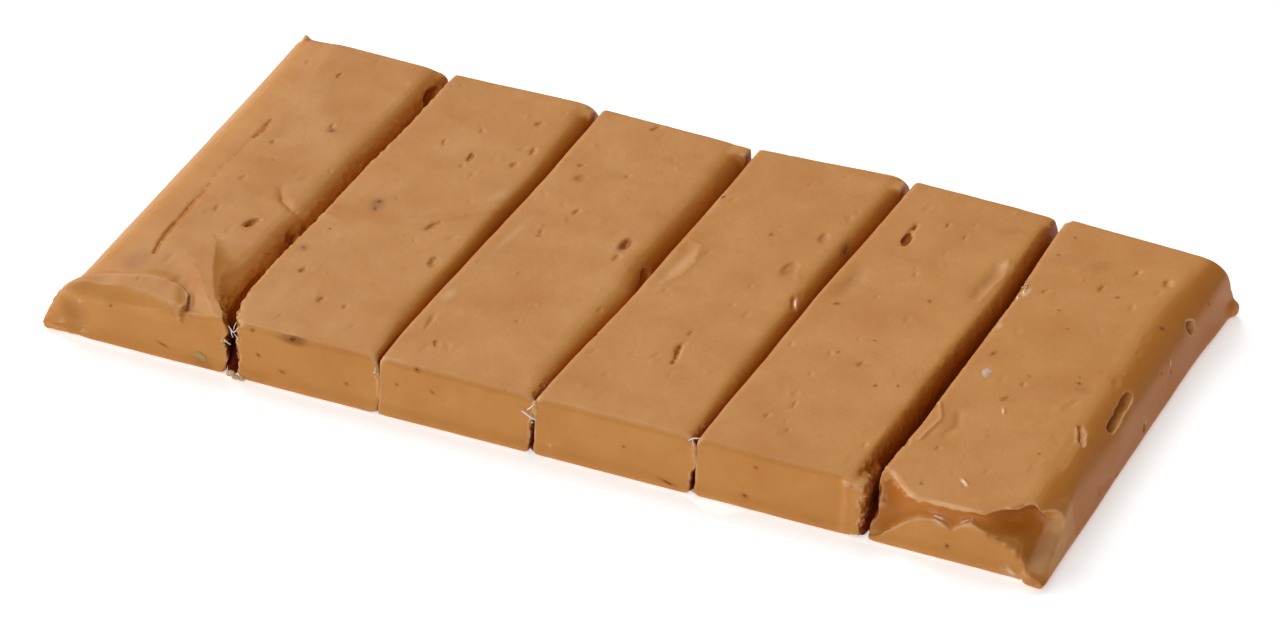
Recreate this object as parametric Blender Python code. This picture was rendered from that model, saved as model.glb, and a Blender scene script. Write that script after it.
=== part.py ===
"""Almond taffy bar, cut into six pieces that lie side by side on their clear film.

Blender 4.5, metres, +Z up. The bar lies flat: its length runs along X and its
front faces -Y. Places are millimetres from the middle cut (X), from half way
between front and back (Y) and from the surface that the bar lies on (Z). The last
step moves the whole so that the middle of its base is the origin.
"""

import math

import bmesh
import bpy
from mathutils import Matrix, Vector

MM = 0.001

# The whole bar.
PITCH = 17.5  # one piece and its cut
THICK = 6.4  # top of the bar above the surface that it lies on
FRONT = -25.55  # front top edge
LEAN = 0.6  # how far front and back step out from the top to the base
FOOT = 0.35  # rounding along the bottom edges
END_ROUND = 0.45  # rounding along the front and back top edges
CORNER = 4.0  # reach along a side of what its front or back end does
LEAST_CUT = 0.32  # narrowest cut between two pieces

# The two ends of the bar: a soft bevel and a long slope on the left, a full
# shoulder and a steep face on the right.
LEFT_TOP = -51.3
LEFT_BEVEL = 3.4
LEFT_SLOPE = 58  # degrees at the lower end of the bevel
LEFT_BASE = -54.7
RIGHT_TOP = 53.1
RIGHT_SPREAD = 1.0

# The clear film under the bar.
FILM_THICK = 0.1
FILM_MARGIN = 0.15  # past the foot of the pieces, at the front and back
FILM_STEP = 1.8  # between points of its outline
FILM_TAB = (19.6, 2.2, 1.5)  # its middle along X, its half length, its reach
REST_GAP = 0.3  # between the film and the pieces
BASE = FILM_THICK + REST_GAP

TAFFY_COLOR = (0.51, 0.25, 0.095, 1.0)
FILM_COLOR = (0.86, 0.88, 0.90, 1.0)

# Each cut: its place in pitches from the middle one, how far the left edge of the
# piece after it wanders from there (y, dx), and how wide it gapes (y, width).
CUTS = (
    dict(
        place=-2,
        edge=((-25.6, 2.4), (-22.3, 0.5), (-15, 0.4), (-4, 1.0), (5, 1.1), (12, 1.7), (26, 2.0)),
        gap=((-25.6, 1.4), (-22, 0.5), (-12, 0.7), (-8, 1.1), (-5, 0.6), (12, 0.8), (26, 0.6)),
    ),
    dict(
        place=-1,
        edge=((-25.6, 0.3), (-20, 0.2), (-10, 0.5), (0, 0.9), (12, 1.5), (26, 1.6)),
        gap=((-25.6, LEAST_CUT), (-4, 0.4), (2, 0.65), (10, 0.45), (26, 0.6)),
    ),
    dict(
        place=0,
        edge=((-25.6, -0.3), (-15, 0.2), (-5, 1.0), (5, 1.4), (15, 1.8), (26, 1.9)),
        gap=((-25.6, LEAST_CUT), (-2.6, LEAST_CUT), (-0.6, 1.0), (10, 0.7), (26, 0.6)),
    ),
    dict(
        place=1,
        edge=((-25.6, -0.5), (-20, -0.4), (-5, 0.1), (8, 0.6), (20, 1.3), (26, 1.6)),
        gap=((-25.6, LEAST_CUT), (-8, 0.4), (8, 0.6), (20, 0.5), (26, 0.6)),
    ),
    dict(
        place=2,
        edge=((-25.6, 0.4), (-21, 0.4), (-14, 0.9), (0, 1.1), (10, 1.2), (20, 0.8), (26, 0.8)),
        gap=((-25.6, 1.6), (-14, 1.6), (0, 1.4), (12, 1.0), (26, 0.7)),
    ),
)


def mix(a, b, t):
    return a + (b - a) * t


def smooth(t):
    t = min(max(t, 0.0), 1.0)
    return t * t * (3 - 2 * t)


def bell(distance, reach):
    return math.exp(-((distance / reach) ** 2))


def line(points, at):
    """Value at a place on a line through (place, value) points, level past its ends."""
    if at <= points[0][0]:
        return points[0][1]
    for (a, value_a), (b, value_b) in zip(points, points[1:]):
        if at <= b:
            return mix(value_a, value_b, (at - a) / (b - a))
    return points[-1][1]


def fallen(z):
    """0 at the top of the bar to 1 at the base of its pieces."""
    return (THICK - z) / (THICK - BASE)


def after_cut(index):
    """Left edge of the piece after a cut, as a function of y."""
    cut = CUTS[index]
    return lambda y: cut["place"] * PITCH + line(cut["edge"], y)


def before_cut(index):
    """Right edge of the piece before a cut, as a function of y."""
    cut = CUTS[index]
    return lambda y: after_cut(index)(y) - line(cut["gap"], y)


class Piece:
    """One piece: its outline from above, its edge roundings and its relief.

    The angles of a rounding say where the grid of the top has its columns,
    outermost first.
    """

    left_round = ((0, 0.35),)  # radius of the left edge's rounding, along y
    left_angles = (90, 45, 0)
    right_angles = (90, 68, 45, 22, 0)
    end_angles = (90, 45, 0)
    columns = 8
    rows = 15
    layers = 4
    crowding = 1.15  # over 1 packs the rows towards the front

    def __init__(self, name, left, right, back, shoulder):
        self.name = name
        self.left = left
        self.right = right
        self.back_line = back
        self.shoulder = shoulder

    def front(self, x):
        return FRONT

    def back(self, x):
        left, right = self.left(0), self.right(0)
        return mix(*self.back_line, (x - left) / (right - left))

    def left_face(self, y, z):
        return self.left(y)

    def right_face(self, y, z):
        return self.right(y)

    def front_face(self, x, z):
        return self.front(x) - LEAN * fallen(z)

    def top_relief(self, x, y):
        return 0.0

    def column_places(self):
        left = [("left", math.radians(angle)) for angle in self.left_angles]
        middle = [("middle", i / self.columns) for i in range(1, self.columns)]
        right = [("right", math.radians(angle)) for angle in reversed(self.right_angles)]
        return left + middle + right

    def row_places(self):
        front = [("front", math.radians(angle)) for angle in self.end_angles]
        middle = [("middle", (i / self.rows) ** self.crowding) for i in range(1, self.rows)]
        back = [("back", math.radians(angle)) for angle in reversed(self.end_angles)]
        return front + middle + back

    def column(self, place, y):
        """(x, drop) of a column of the top at y."""
        side, t = place
        radius = line(self.left_round, y)
        inner_left = self.left(y) + radius * math.sin(math.radians(self.left_angles[0]))
        shoulder_reach, shoulder_drop = line_pair(self.shoulder, y)
        inner_right = self.right(y) - shoulder_reach
        if side == "left":
            return inner_left - radius * math.sin(t), radius * (1 - math.cos(t))
        if side == "right":
            return inner_right + shoulder_reach * math.sin(t), shoulder_drop * (1 - math.cos(t))
        return mix(inner_left, inner_right, t), 0.0

    def row(self, place, x):
        """(y, drop) of a row of the top at x."""
        side, t = place
        front = self.front(x) + END_ROUND
        back = self.back(x) - END_ROUND
        drop = END_ROUND * (1 - math.cos(t))
        if side == "front":
            return front - END_ROUND * math.sin(t), drop
        if side == "back":
            return back + END_ROUND * math.sin(t), drop
        return mix(front, back, t), 0.0

    def top_point(self, column, row):
        """A grid point of the top, before the walls' shapes move it."""
        x, y = self.left(0), 0.0
        for _ in range(4):
            y, end_drop = self.row(row, x)
            x, side_drop = self.column(column, y)
        height = THICK + swell(x, y) - side_drop - end_drop + self.top_relief(x, y)
        return Vector((x, y, height))

    def shaped(self, point):
        """The point moved sideways by as much as the walls step out or in at its height."""
        x, y, z = point
        tuck = foot_tuck(z)
        left, right = self.left(y), self.right(y)
        across = (x - left) / (right - left)
        shaped_x = mix(self.left_face(y, z) + tuck, self.right_face(y, z) - tuck, across)
        front, back = self.front(x), self.back(x)
        from_front = max(0.0, 1 - (y - front) / CORNER)
        from_back = max(0.0, 1 - (back - y) / CORNER)
        front_shift = self.front_face(x, z) + tuck - front
        back_shift = LEAN * fallen(z) - tuck
        shaped_y = y + from_front * front_shift + from_back * back_shift
        return Vector((shaped_x, shaped_y, z))


def foot_tuck(z):
    """How far the wall draws in at its rounded foot."""
    below = min(max((BASE + FOOT - z) / FOOT, 0.0), 1.0)
    return FOOT * (1 - math.sqrt(1 - below**2))


def line_pair(points, at):
    """Like line, for (place, first, second) points."""
    first = [(place, a) for place, a, b in points]
    second = [(place, b) for place, a, b in points]
    return line(first, at), line(second, at)


def swell(x, y):
    """Slight rise and fall of the whole top."""
    long_wave = math.sin(x * 0.19 + 0.6) * math.cos(y * 0.09)
    short_wave = math.sin(y * 0.21 + x * 0.07)
    return 0.07 * long_wave + 0.05 * short_wave


class LeftEnd(Piece):
    """The first piece: its left end slopes, and a tongue lies folded over its front."""

    left_round = ((-25.5, 1.5), (-21, 3.0), (20, LEFT_BEVEL), (26, 1.6))
    left_angles = (LEFT_SLOPE, 42, 28, 14, 0)
    columns = 9
    rows = 22
    layers = 6
    crowding = 1.5

    # The tongue's upper edge, and the crest that runs to the front right corner.
    tongue = ((-52, -24.6), (-50, -23.2), (-46, -21.4), (-43, -21.1), (-40.5, -22.0), (-38.6, -25.6))
    crest = ((-45, -13), (-40, -18), (-37.5, -21.5), (-34.8, -25.6))
    hollow = (-51.3, 2.3)  # x and z of the dent beside the front left corner

    def top_relief(self, x, y):
        sag = -0.3 * smooth((-45.5 - x) / 3.5)
        behind = y - line(self.tongue, x)
        beside = line(self.crest, x) - y
        trough = -0.5 * smooth(behind / 0.7) * bell(max(behind, 0), 3.2) * smooth(beside / 4)
        rise = 0.25 * bell(beside, 1.6) * smooth((-14 - y) / 5)
        return sag + trough + rise

    def left_face(self, y, z):
        spread = self.left(y) - LEFT_TOP + mix(LEFT_TOP, LEFT_BASE, fallen(z))
        flare = -0.8 * bell(z - 2.6, 2.2) * smooth((-20 - y) / 5)
        return spread + flare

    def front_face(self, x, z):
        away = math.hypot(x - self.hollow[0], z - self.hollow[1])
        return super().front_face(x, z) + 0.6 * bell(away, 1.1)


class RightEnd(Piece):
    """The last piece: a broad shoulder at its right end and a torn hollow at its front."""

    columns = 15
    rows = 18
    layers = 11
    crowding = 1.35
    right_angles = (90, 75, 60, 45, 30, 15, 0)

    # Front edge of the top, from above: the ragged lip over the hollow (x, y).
    lip = (
        (35.3, -22.6),
        (37.2, -23.2),
        (38.3, -24.7),
        (39.6, -25.8),
        (42.0, -26.1),
        (46.2, -26.0),
        (47.6, -25.4),
        (48.5, -24.7),
        (49.3, -24.5),
        (50.0, -22.7),
        (50.8, -23.2),
        (52.4, -23.6),
        (54.0, -24.6),
    )
    # Ridge of the mounds under the hollow (x, z), and the hollow's depth line (x, y).
    mounds = (
        (35.0, 1.2),
        (37.5, 3.0),
        (40.5, 4.6),
        (42.4, 4.8),
        (43.6, 4.2),
        (44.8, 4.8),
        (46.4, 4.7),
        (48.5, 3.8),
        (50.4, 3.3),
        (51.4, 1.6),
        (54.0, 1.2),
    )
    depth_line = (
        (35.0, -23.6),
        (37.5, -23.6),
        (40.0, -24.7),
        (45.0, -24.8),
        (47.0, -23.6),
        (49.0, -21.8),
        (50.6, -21.4),
        (52.0, -23.2),
        (54.0, -25.2),
    )

    def front(self, x):
        return line(self.lip, x)

    def front_face(self, x, z):
        mound = line(self.mounds, x)
        heel = 0.8 * bell(x - 52.6, 1.2) * smooth((2.4 - z) / 2)
        lower = FRONT - LEAN * fallen(z) - heel
        inner = line(self.depth_line, x)
        above_mound = smooth((z - mound + 0.2) / 1.4)
        under_lip = smooth((THICK - 0.25 - z) / 0.8)
        return mix(lower, mix(self.front(x), inner, under_lip), above_mound)

    def right_face(self, y, z):
        return self.right(y) + RIGHT_SPREAD * fallen(z)


def pieces():
    cuts = range(len(CUTS))
    left = [lambda y: mix(LEFT_TOP, LEFT_TOP + 0.4, (y - FRONT) / -FRONT / 2)]
    left += [after_cut(index) for index in cuts]
    right = [before_cut(index) for index in cuts]
    right += [lambda y: RIGHT_TOP + 0.5 * smooth((y - 12) / 14)]
    backs = ((26.2, 25.8), (25.8, 26.2), (25.9, 25.3), (25.5, 26.3), (26.2, 25.6), (26.0, 24.9))
    # Rounding along each right edge: (y, reach, drop).
    shoulders = (
        ((-25.5, 0.7, 0.9), (-21.5, 2.9, 1.6), (-18, 4.4, 1.6), (-13, 2.9, 1.9), (26, 2.6, 1.9)),
        ((-23, 0.6, 0.4), (-18, 2.2, 1.0), (-8, 1.3, 1.3), (10, 1.5, 1.5), (26, 2.2, 1.7)),
        ((-24, 0.9, 0.3), (-20, 1.9, 0.9), (-2, 2.6, 1.3), (0, 2.3, 1.9), (26, 2.6, 2.2)),
        ((-24, 0.9, 0.4), (-15, 1.5, 1.2), (26, 1.9, 1.7)),
        ((-25.5, 0.5, 0.5), (-15, 1.1, 1.5), (26, 1.1, 1.6)),
        ((-25, 3.0, 2.2), (15, 3.6, 2.6), (26, 2.2, 1.8)),
    )
    kinds = (LeftEnd, Piece, Piece, Piece, Piece, RightEnd)
    made = []
    for index, kind in enumerate(kinds):
        name = f"taffy_piece_{index + 1}"
        made.append(kind(name, left[index], right[index], backs[index], shoulders[index]))
    return made


def rim(columns, rows):
    """(i, j) of the top's outer points, anticlockwise from the front left corner."""
    last_i = columns - 1
    last_j = rows - 1
    front = [(i, 0) for i in range(last_i)]
    right = [(last_i, j) for j in range(last_j)]
    back = [(i, last_j) for i in range(last_i, 0, -1)]
    left = [(0, j) for j in range(last_j, 0, -1)]
    return front + right + back + left


def layer_depths(layers):
    """Depths of the wall's layers: even ones, then three round the foot."""
    foot = FOOT / (THICK - BASE)
    even = [i / layers * (1 - foot) for i in range(1, layers + 1)]
    return even + [1 - foot * 0.3, 1.0]


def piece_mesh(piece):
    columns = piece.column_places()
    rows = piece.row_places()
    bm = bmesh.new()
    points = {}
    verts = {}
    for i, column in enumerate(columns):
        for j, row in enumerate(rows):
            points[i, j] = piece.top_point(column, row)
            verts[i, j] = bm.verts.new(piece.shaped(points[i, j]) * MM)
    for i in range(len(columns) - 1):
        for j in range(len(rows) - 1):
            bm.faces.new((verts[i, j], verts[i + 1, j], verts[i + 1, j + 1], verts[i, j + 1]))
    edge = rim(len(columns), len(rows))
    upper = [verts[key] for key in edge]
    for depth in layer_depths(piece.layers):
        lower = []
        for key in edge:
            x, y, z = points[key]
            point = piece.shaped(Vector((x, y, mix(z, BASE, depth))))
            lower.append(bm.verts.new(point * MM))
        for a in range(len(edge)):
            b = (a + 1) % len(edge)
            bm.faces.new((upper[b], upper[a], lower[a], lower[b]))
        upper = lower
    bm.faces.new(list(reversed(upper)))
    return bm


def add_pebble(bm, place, size, turn=0.0, tilt=0.0):
    """A pit's cutter: place and size in millimetres, turned about Z, then tilted about Y."""
    rotate = Matrix.Rotation(math.radians(tilt), 4, "Y") @ Matrix.Rotation(math.radians(turn), 4, "Z")
    scale = Matrix.Diagonal((*[side * MM / 2 for side in size], 1))
    matrix = Matrix.Translation(Vector(place) * MM) @ rotate @ scale
    bmesh.ops.create_icosphere(bm, subdivisions=2, radius=1, matrix=matrix)


def add_groove(bm, path, width, depth):
    """A groove's cutter: a thin lozenge that follows path and narrows to both its ends."""
    last = len(path) - 1
    rings = []
    for index, place in enumerate(path[1:-1], start=1):
        swell_here = math.sin(math.pi * index / last) ** 0.5
        half = width / 2 * swell_here
        deep = depth * swell_here
        corners = ((-half, 0), (0, -deep), (half, 0), (0, deep))
        rings.append([bm.verts.new((Vector(place) + Vector((dx, 0, dz))) * MM) for dx, dz in corners])
    start = bm.verts.new(Vector(path[0]) * MM)
    end = bm.verts.new(Vector(path[-1]) * MM)
    for k in range(4):
        n = (k + 1) % 4
        bm.faces.new((start, rings[0][k], rings[0][n]))
        bm.faces.new((end, rings[-1][n], rings[-1][k]))
        for a, b in zip(rings, rings[1:]):
            bm.faces.new((a[k], b[k], b[n], a[n]))
    bmesh.ops.recalc_face_normals(bm, faces=bm.faces)


def wavy_path(x, y_from, y_to, z, wander, points):
    """Points of a groove that runs along Y and wanders a little to both sides."""
    path = []
    for index in range(points):
        t = index / (points - 1)
        path.append((x + wander * math.sin(t * 7.3 + 0.4), mix(y_from, y_to, t), z))
    return path


def pits():
    """Cutters for the pits and grooves in each piece, by the piece's number."""
    made = {number: bmesh.new() for number in (1, 2, 3, 4, 5, 6)}
    add_groove(made[1], wavy_path(-47.0, -17.5, 10.8, THICK - 0.2, 0.25, 15), 0.8, 0.7)
    add_pebble(made[1], (-39.7, -8.6, THICK), (0.9, 2.4, 1.0), turn=-25)
    add_pebble(made[2], (-26.2, FRONT - 0.1, THICK - 0.1), (2.6, 0.9, 0.9))
    add_pebble(made[3], (-3.3, 3.2, THICK), (0.9, 2.3, 0.9))
    add_groove(made[4], wavy_path(9.3, -14.6, -9.6, THICK, 0.3, 7), 0.5, 0.6)
    add_pebble(made[5], (22.4, 15.6, THICK), (0.9, 2.6, 1.6), turn=4)
    add_groove(made[5], wavy_path(22.3, 13.6, 19.4, THICK, 0.1, 7), 0.6, 0.8)
    add_pebble(made[6], (52.8, 14.6, THICK - 1.6), (2.2, 1.4, 1.6), tilt=45)
    add_pebble(made[6], (51.9, -1.6, THICK - 1.0), (1.6, 3.2, 1.8), turn=6, tilt=38)
    add_pebble(made[6], (52.1, -3.8, THICK - 1.2), (1.4, 3.0, 1.8), turn=-4, tilt=40)
    return made


def taffy_material():
    return plain_material("taffy", TAFFY_COLOR, 0.45)


def film_material():
    return plain_material("clear_film", FILM_COLOR, 0.15)


def plain_material(name, color, roughness):
    material = bpy.data.materials.new(name)
    material.use_nodes = True
    shader = material.node_tree.nodes["Principled BSDF"]
    shader.inputs["Base Color"].default_value = color
    shader.inputs["Roughness"].default_value = roughness
    shader.inputs["Metallic"].default_value = 0.0
    material.diffuse_color = color
    return material


def add_object(name, bm, material=None):
    mesh = bpy.data.meshes.new(name)
    bm.to_mesh(mesh)
    bm.free()
    made = bpy.data.objects.new(name, mesh)
    bpy.context.scene.collection.objects.link(made)
    if material:
        mesh.materials.append(material)
        mesh.shade_smooth()
        mesh.set_sharp_from_angle(angle=math.radians(40))
    return made


def add_piece(piece, cutter_mesh, material):
    made = add_object(piece.name, piece_mesh(piece), material)
    cutter = add_object(f"{piece.name}_pits", cutter_mesh)
    cutter.hide_render = True
    cutter.display_type = "WIRE"
    cut = made.modifiers.new("pits", "BOOLEAN")
    cut.operation = "DIFFERENCE"
    cut.object = cutter
    cut.use_self = True
    return made, cutter


def film_edge():
    """The film's outline, anticlockwise: the bar's base with an uneven margin and a tab."""
    middle, half, reach = FILM_TAB
    front_y = FRONT - LEAN - FILM_MARGIN
    back_y = -FRONT + LEAN + FILM_MARGIN
    left_x = LEFT_BASE + FILM_STEP
    right_x = RIGHT_TOP
    count = round((right_x - left_x) / FILM_STEP)
    front, back = [], []
    for index in range(count + 1):
        x = mix(left_x, right_x, index / count)
        ripple = 0.1 * math.sin(x * 0.31) + 0.07 * math.sin(x * 0.83 + 1.0)
        tab = reach * smooth((half + 1 - abs(x - middle)) / half)
        front.append((x, front_y + ripple - tab))
        back.append((x, back_y + ripple))
    return front + back[::-1]


def film_mesh():
    bm = bmesh.new()
    outline = [bm.verts.new((x * MM, y * MM, 0)) for x, y in film_edge()]
    face = bm.faces.new(outline)
    sheet = bmesh.ops.extrude_face_region(bm, geom=[face])
    raised = [item for item in sheet["geom"] if isinstance(item, bmesh.types.BMVert)]
    bmesh.ops.translate(bm, verts=raised, vec=(0, 0, FILM_THICK * MM))
    bmesh.ops.recalc_face_normals(bm, faces=bm.faces)
    return bm


def centre_on_base(parts, helpers):
    """Moves everything so that the middle of the base of the parts is the origin."""
    corners = [vertex.co for part in parts for vertex in part.data.vertices]
    lows = [min(corner[axis] for corner in corners) for axis in range(3)]
    highs = [max(corner[axis] for corner in corners) for axis in range(3)]
    shift = Vector(((lows[0] + highs[0]) / -2, (lows[1] + highs[1]) / -2, -lows[2]))
    for item in parts + helpers:
        item.data.transform(Matrix.Translation(shift))


def main():
    for item in list(bpy.data.objects):
        bpy.data.objects.remove(item)
    taffy = taffy_material()
    parts = [add_object("backing_film", film_mesh(), film_material())]
    helpers = []
    cutters = pits()
    for number, piece in enumerate(pieces(), start=1):
        made, cutter = add_piece(piece, cutters[number], taffy)
        parts.append(made)
        helpers.append(cutter)
    centre_on_base(parts, helpers)


main()
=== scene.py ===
"""Taffy bar: six strips cut from one slab of nut taffy, close together on a sheet of clear film.

Run as a script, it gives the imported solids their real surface, sets the nut skins, nut chips,
crumbs and shreds of film in place, and adds a pale floor, soft light and a camera.
"""

import math
import random

import bpy
import numpy as np
from mathutils import Matrix, Quaternion, Vector, noise


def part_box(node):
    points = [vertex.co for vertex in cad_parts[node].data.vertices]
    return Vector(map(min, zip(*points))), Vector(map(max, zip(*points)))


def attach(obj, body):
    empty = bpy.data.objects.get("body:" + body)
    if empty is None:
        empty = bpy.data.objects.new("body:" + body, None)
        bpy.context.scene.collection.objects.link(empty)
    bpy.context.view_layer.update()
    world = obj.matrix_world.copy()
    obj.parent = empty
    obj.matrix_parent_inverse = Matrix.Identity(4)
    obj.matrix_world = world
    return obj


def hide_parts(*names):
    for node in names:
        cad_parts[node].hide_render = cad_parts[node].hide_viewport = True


bl_info = {
    "name": "Taffy bar",
    "version": (1, 0, 0),
    "blender": (4, 5, 0),
    "location": "View3D > Sidebar > Taffy bar",
    "description": "Six cut strips of nut taffy on clear film, with their stage",
    "category": "Mesh",
}

MM = 0.001

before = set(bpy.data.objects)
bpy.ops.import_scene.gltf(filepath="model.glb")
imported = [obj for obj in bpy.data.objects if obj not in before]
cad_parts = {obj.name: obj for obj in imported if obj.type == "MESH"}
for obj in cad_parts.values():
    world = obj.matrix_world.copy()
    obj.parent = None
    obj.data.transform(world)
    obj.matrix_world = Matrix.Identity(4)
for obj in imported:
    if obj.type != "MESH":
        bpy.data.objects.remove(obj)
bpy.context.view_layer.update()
STRIPS = (1, 2, 3, 4, 5, 6)
NODE = {number: f"taffy_piece_{number}" for number in STRIPS}
STRIP_BOX = {number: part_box(NODE[number]) for number in STRIPS}

# Where a strip's top and its front face are, in millimetres
TOP = STRIP_BOX[3][1].z / MM
FRONT = STRIP_BOX[3][0].y / MM

# ---- What each strip carries, in millimetres ----
# A face is top, front or end: a place on the top is (x, y), on the front (x, z), and on the
# sloping right end (y, z). A turn is in degrees from the face's first direction.

# face: the axes of its two coordinates, the axis it faces along, where on that axis a ray towards
# it starts, in metres, and the values of its normal between which a point comes to belong to it
FACES = {
    "top": (0, 1, 2, 0.05, (0.15, 0.5)),
    "front": (0, 2, 1, -0.08, (0.15, 0.5)),
    "end": (1, 2, 0, 0.09, (0.1, 0.4)),
}

# strip, face, place, length, width, depth, turn
PITS = (
    (1, "top", (-43.6, 20.7), 1.5, 0.6, 0.22, 94),
    (1, "top", (-40.0, 11.6), 1.2, 0.45, 0.16, 98),
    (1, "top", (-44.3, 6.6), 0.9, 0.5, 0.16, 75),
    (1, "top", (-39.6, -8.4), 2.1, 0.8, 0.2, 115),
    (1, "top", (-44.0, -7.0), 1.6, 0.4, 0.12, 92),
    (1, "top", (-48.0, 22.2), 1.4, 0.4, 0.10, 100),
    (1, "top", (-44.1, -0.9), 1.2, 0.6, 0.12, 75),
    (2, "top", (-24.3, 12.0), 1.7, 0.55, 0.26, 93),
    (2, "top", (-24.4, 10.1), 0.7, 0.35, 0.18, 85),
    (2, "top", (-20.5, 20.7), 1.1, 0.6, 0.2, 60),
    (2, "top", (-18.9, 15.6), 1.5, 0.5, 0.2, 98),
    (2, "top", (-19.6, 12.5), 1.1, 0.7, 0.18, 75),
    (2, "top", (-28.0, 13.5), 1.1, 0.5, 0.14, 95),
    (2, "top", (-25.3, 16.9), 0.8, 0.5, 0.14, 90),
    (2, "top", (-22.4, -1.2), 2.4, 0.6, 0.2, 66),
    (2, "top", (-19.5, -7.2), 2.1, 0.9, 0.18, 100),
    (2, "top", (-30.9, -13.9), 1.1, 0.5, 0.2, 70),
    (2, "top", (-26.9, -17.9), 1.1, 0.6, 0.18, 80),
    (2, "top", (-24.2, -18.0), 0.9, 0.4, 0.16, 95),
    (3, "top", (-9.1, 24.8), 1.3, 0.5, 0.22, 62),
    (3, "top", (-13.2, 15.2), 0.9, 0.5, 0.18, 25),
    (3, "top", (-12.2, 12.9), 1.4, 1.0, 0.12, 30),
    (3, "top", (-8.0, 15.2), 0.9, 0.4, 0.12, 60),
    (3, "top", (-10.1, 7.1), 1.2, 0.5, 0.2, 75),
    (3, "top", (-11.9, 2.4), 0.9, 0.4, 0.16, 95),
    (3, "top", (-13.0, -20.3), 1.2, 0.5, 0.2, 120),
    (3, "top", (-15.2, -17.0), 3.4, 0.5, 0.14, 96),
    (3, "top", (-7.3, -13.4), 0.7, 0.4, 0.1, 60),
    (3, "top", (-2.9, 1.0), 1.3, 0.7, 0.16, 85),
    (4, "top", (2.5, 15.7), 0.9, 0.4, 0.18, 95),
    (4, "top", (14.8, 12.9), 1.8, 0.9, 0.14, 95),
    (4, "top", (13.9, 6.3), 2.6, 1.3, 0.16, 80),
    (4, "top", (16.5, 1.0), 2.4, 0.6, 0.2, 112),
    (4, "top", (9.4, -8.4), 1.0, 0.5, 0.14, 70),
    (5, "top", (22.3, 16.4), 2.6, 0.7, 0.4, 92),
    (5, "top", (25.5, 20.1), 0.9, 0.4, 0.2, 95),
    (5, "top", (27.9, 18.8), 1.6, 0.3, 0.12, 98),
    (5, "top", (25.8, 10.5), 0.8, 0.4, 0.12, 95),
    (5, "top", (23.6, -15.6), 1.5, 0.4, 0.12, 94),
    (5, "top", (21.9, -18.4), 1.1, 0.45, 0.14, 85),
    (5, "top", (24.7, -19.9), 0.9, 0.4, 0.14, 80),
    (5, "top", (26.9, -6.4), 1.2, 0.5, 0.12, 70),
    (6, "end", (15.6, 4.45), 1.5, 1.25, 1.3, 0),
    (6, "end", (-0.7, 5.4), 3.1, 1.0, 0.9, 4),
    (6, "end", (-4.1, 5.3), 3.3, 0.95, 0.9, 0),
    (6, "end", (-2.4, 5.35), 2.2, 0.85, 0.8, 2),
    (6, "end", (1.4, 1.8), 1.7, 0.5, 0.5, 60),
    (6, "end", (7.0, 4.2), 0.8, 0.3, 0.2, 20),
    (6, "end", (9.2, 3.2), 0.9, 0.3, 0.25, 60),
    (6, "top", (46.2, 19.6), 1.6, 0.4, 0.16, 82),
    (6, "top", (43.9, 15.6), 1.2, 0.6, 0.14, 90),
    (6, "top", (49.7, 19.1), 1.6, 0.9, 0.14, 105),
    (6, "top", (38.9, 12.9), 1.2, 0.5, 0.12, 60),
    (6, "top", (39.2, -16.7), 0.7, 0.4, 0.16, 75),
    (6, "top", (42.9, -3.4), 0.8, 0.5, 0.12, 90),
    (6, "top", (42.3, -6.4), 1.2, 0.6, 0.12, 60),
)

# strip, face, width, depth, the line it follows
CRACKS = (
    (1, "top", 0.42, 0.22, ((-46.4, 11.0), (-46.5, 9.4), (-46.3, 8.6), (-46.7, 6.4))),
    (1, "top", 0.24, 0.1, ((-46.7, 6.4), (-46.9, 2.0), (-47.1, 0.2), (-46.8, -2.4))),
    (1, "top", 0.36, 0.17, ((-46.8, -2.4), (-46.6, -5.6), (-46.9, -7.6), (-46.7, -10.4))),
    (1, "top", 0.5, 0.25, ((-46.7, -10.4), (-46.8, -12.6), (-46.5, -14.4), (-46.2, -17.2))),
    (1, "top", 0.4, 0.14, ((-39.3, -1.6), (-38.6, -3.0), (-37.2, -4.1), (-35.9, -4.6))),
    (2, "top", 0.22, 0.14, ((-23.0, 10.0), (-22.7, 8.6), (-22.5, 7.3))),
    (3, "top", 0.24, 0.14, ((-10.1, 6.7), (-10.0, 5.9), (-10.1, 4.6))),
    (3, "top", 0.26, 0.16, ((-2.5, 19.0), (-2.7, 17.0), (-2.6, 15.4))),
    (4, "top", 0.42, 0.28, ((9.1, -9.9), (9.3, -11.2), (9.7, -12.9), (9.9, -14.4))),
    (5, "top", 0.4, 0.3, ((22.4, 17.0), (22.5, 18.3), (22.4, 19.6))),
    (5, "top", 0.24, 0.1, ((26.9, -3.9), (28.0, -4.2), (29.2, -4.1))),
    (6, "top", 0.55, 0.3, ((50.3, -7.3), (50.9, -8.6), (51.2, -9.6), (51.8, -10.6))),
    (6, "top", 0.3, 0.14, ((52.1, 5.2), (52.2, 6.4), (52.35, 7.6))),
    (6, "end", 0.3, 0.25, ((-24.2, 0.9), (-22.0, 1.2), (-18.8, 1.4), (-13.9, 1.3), (-10.4, 2.0))),
)

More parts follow.
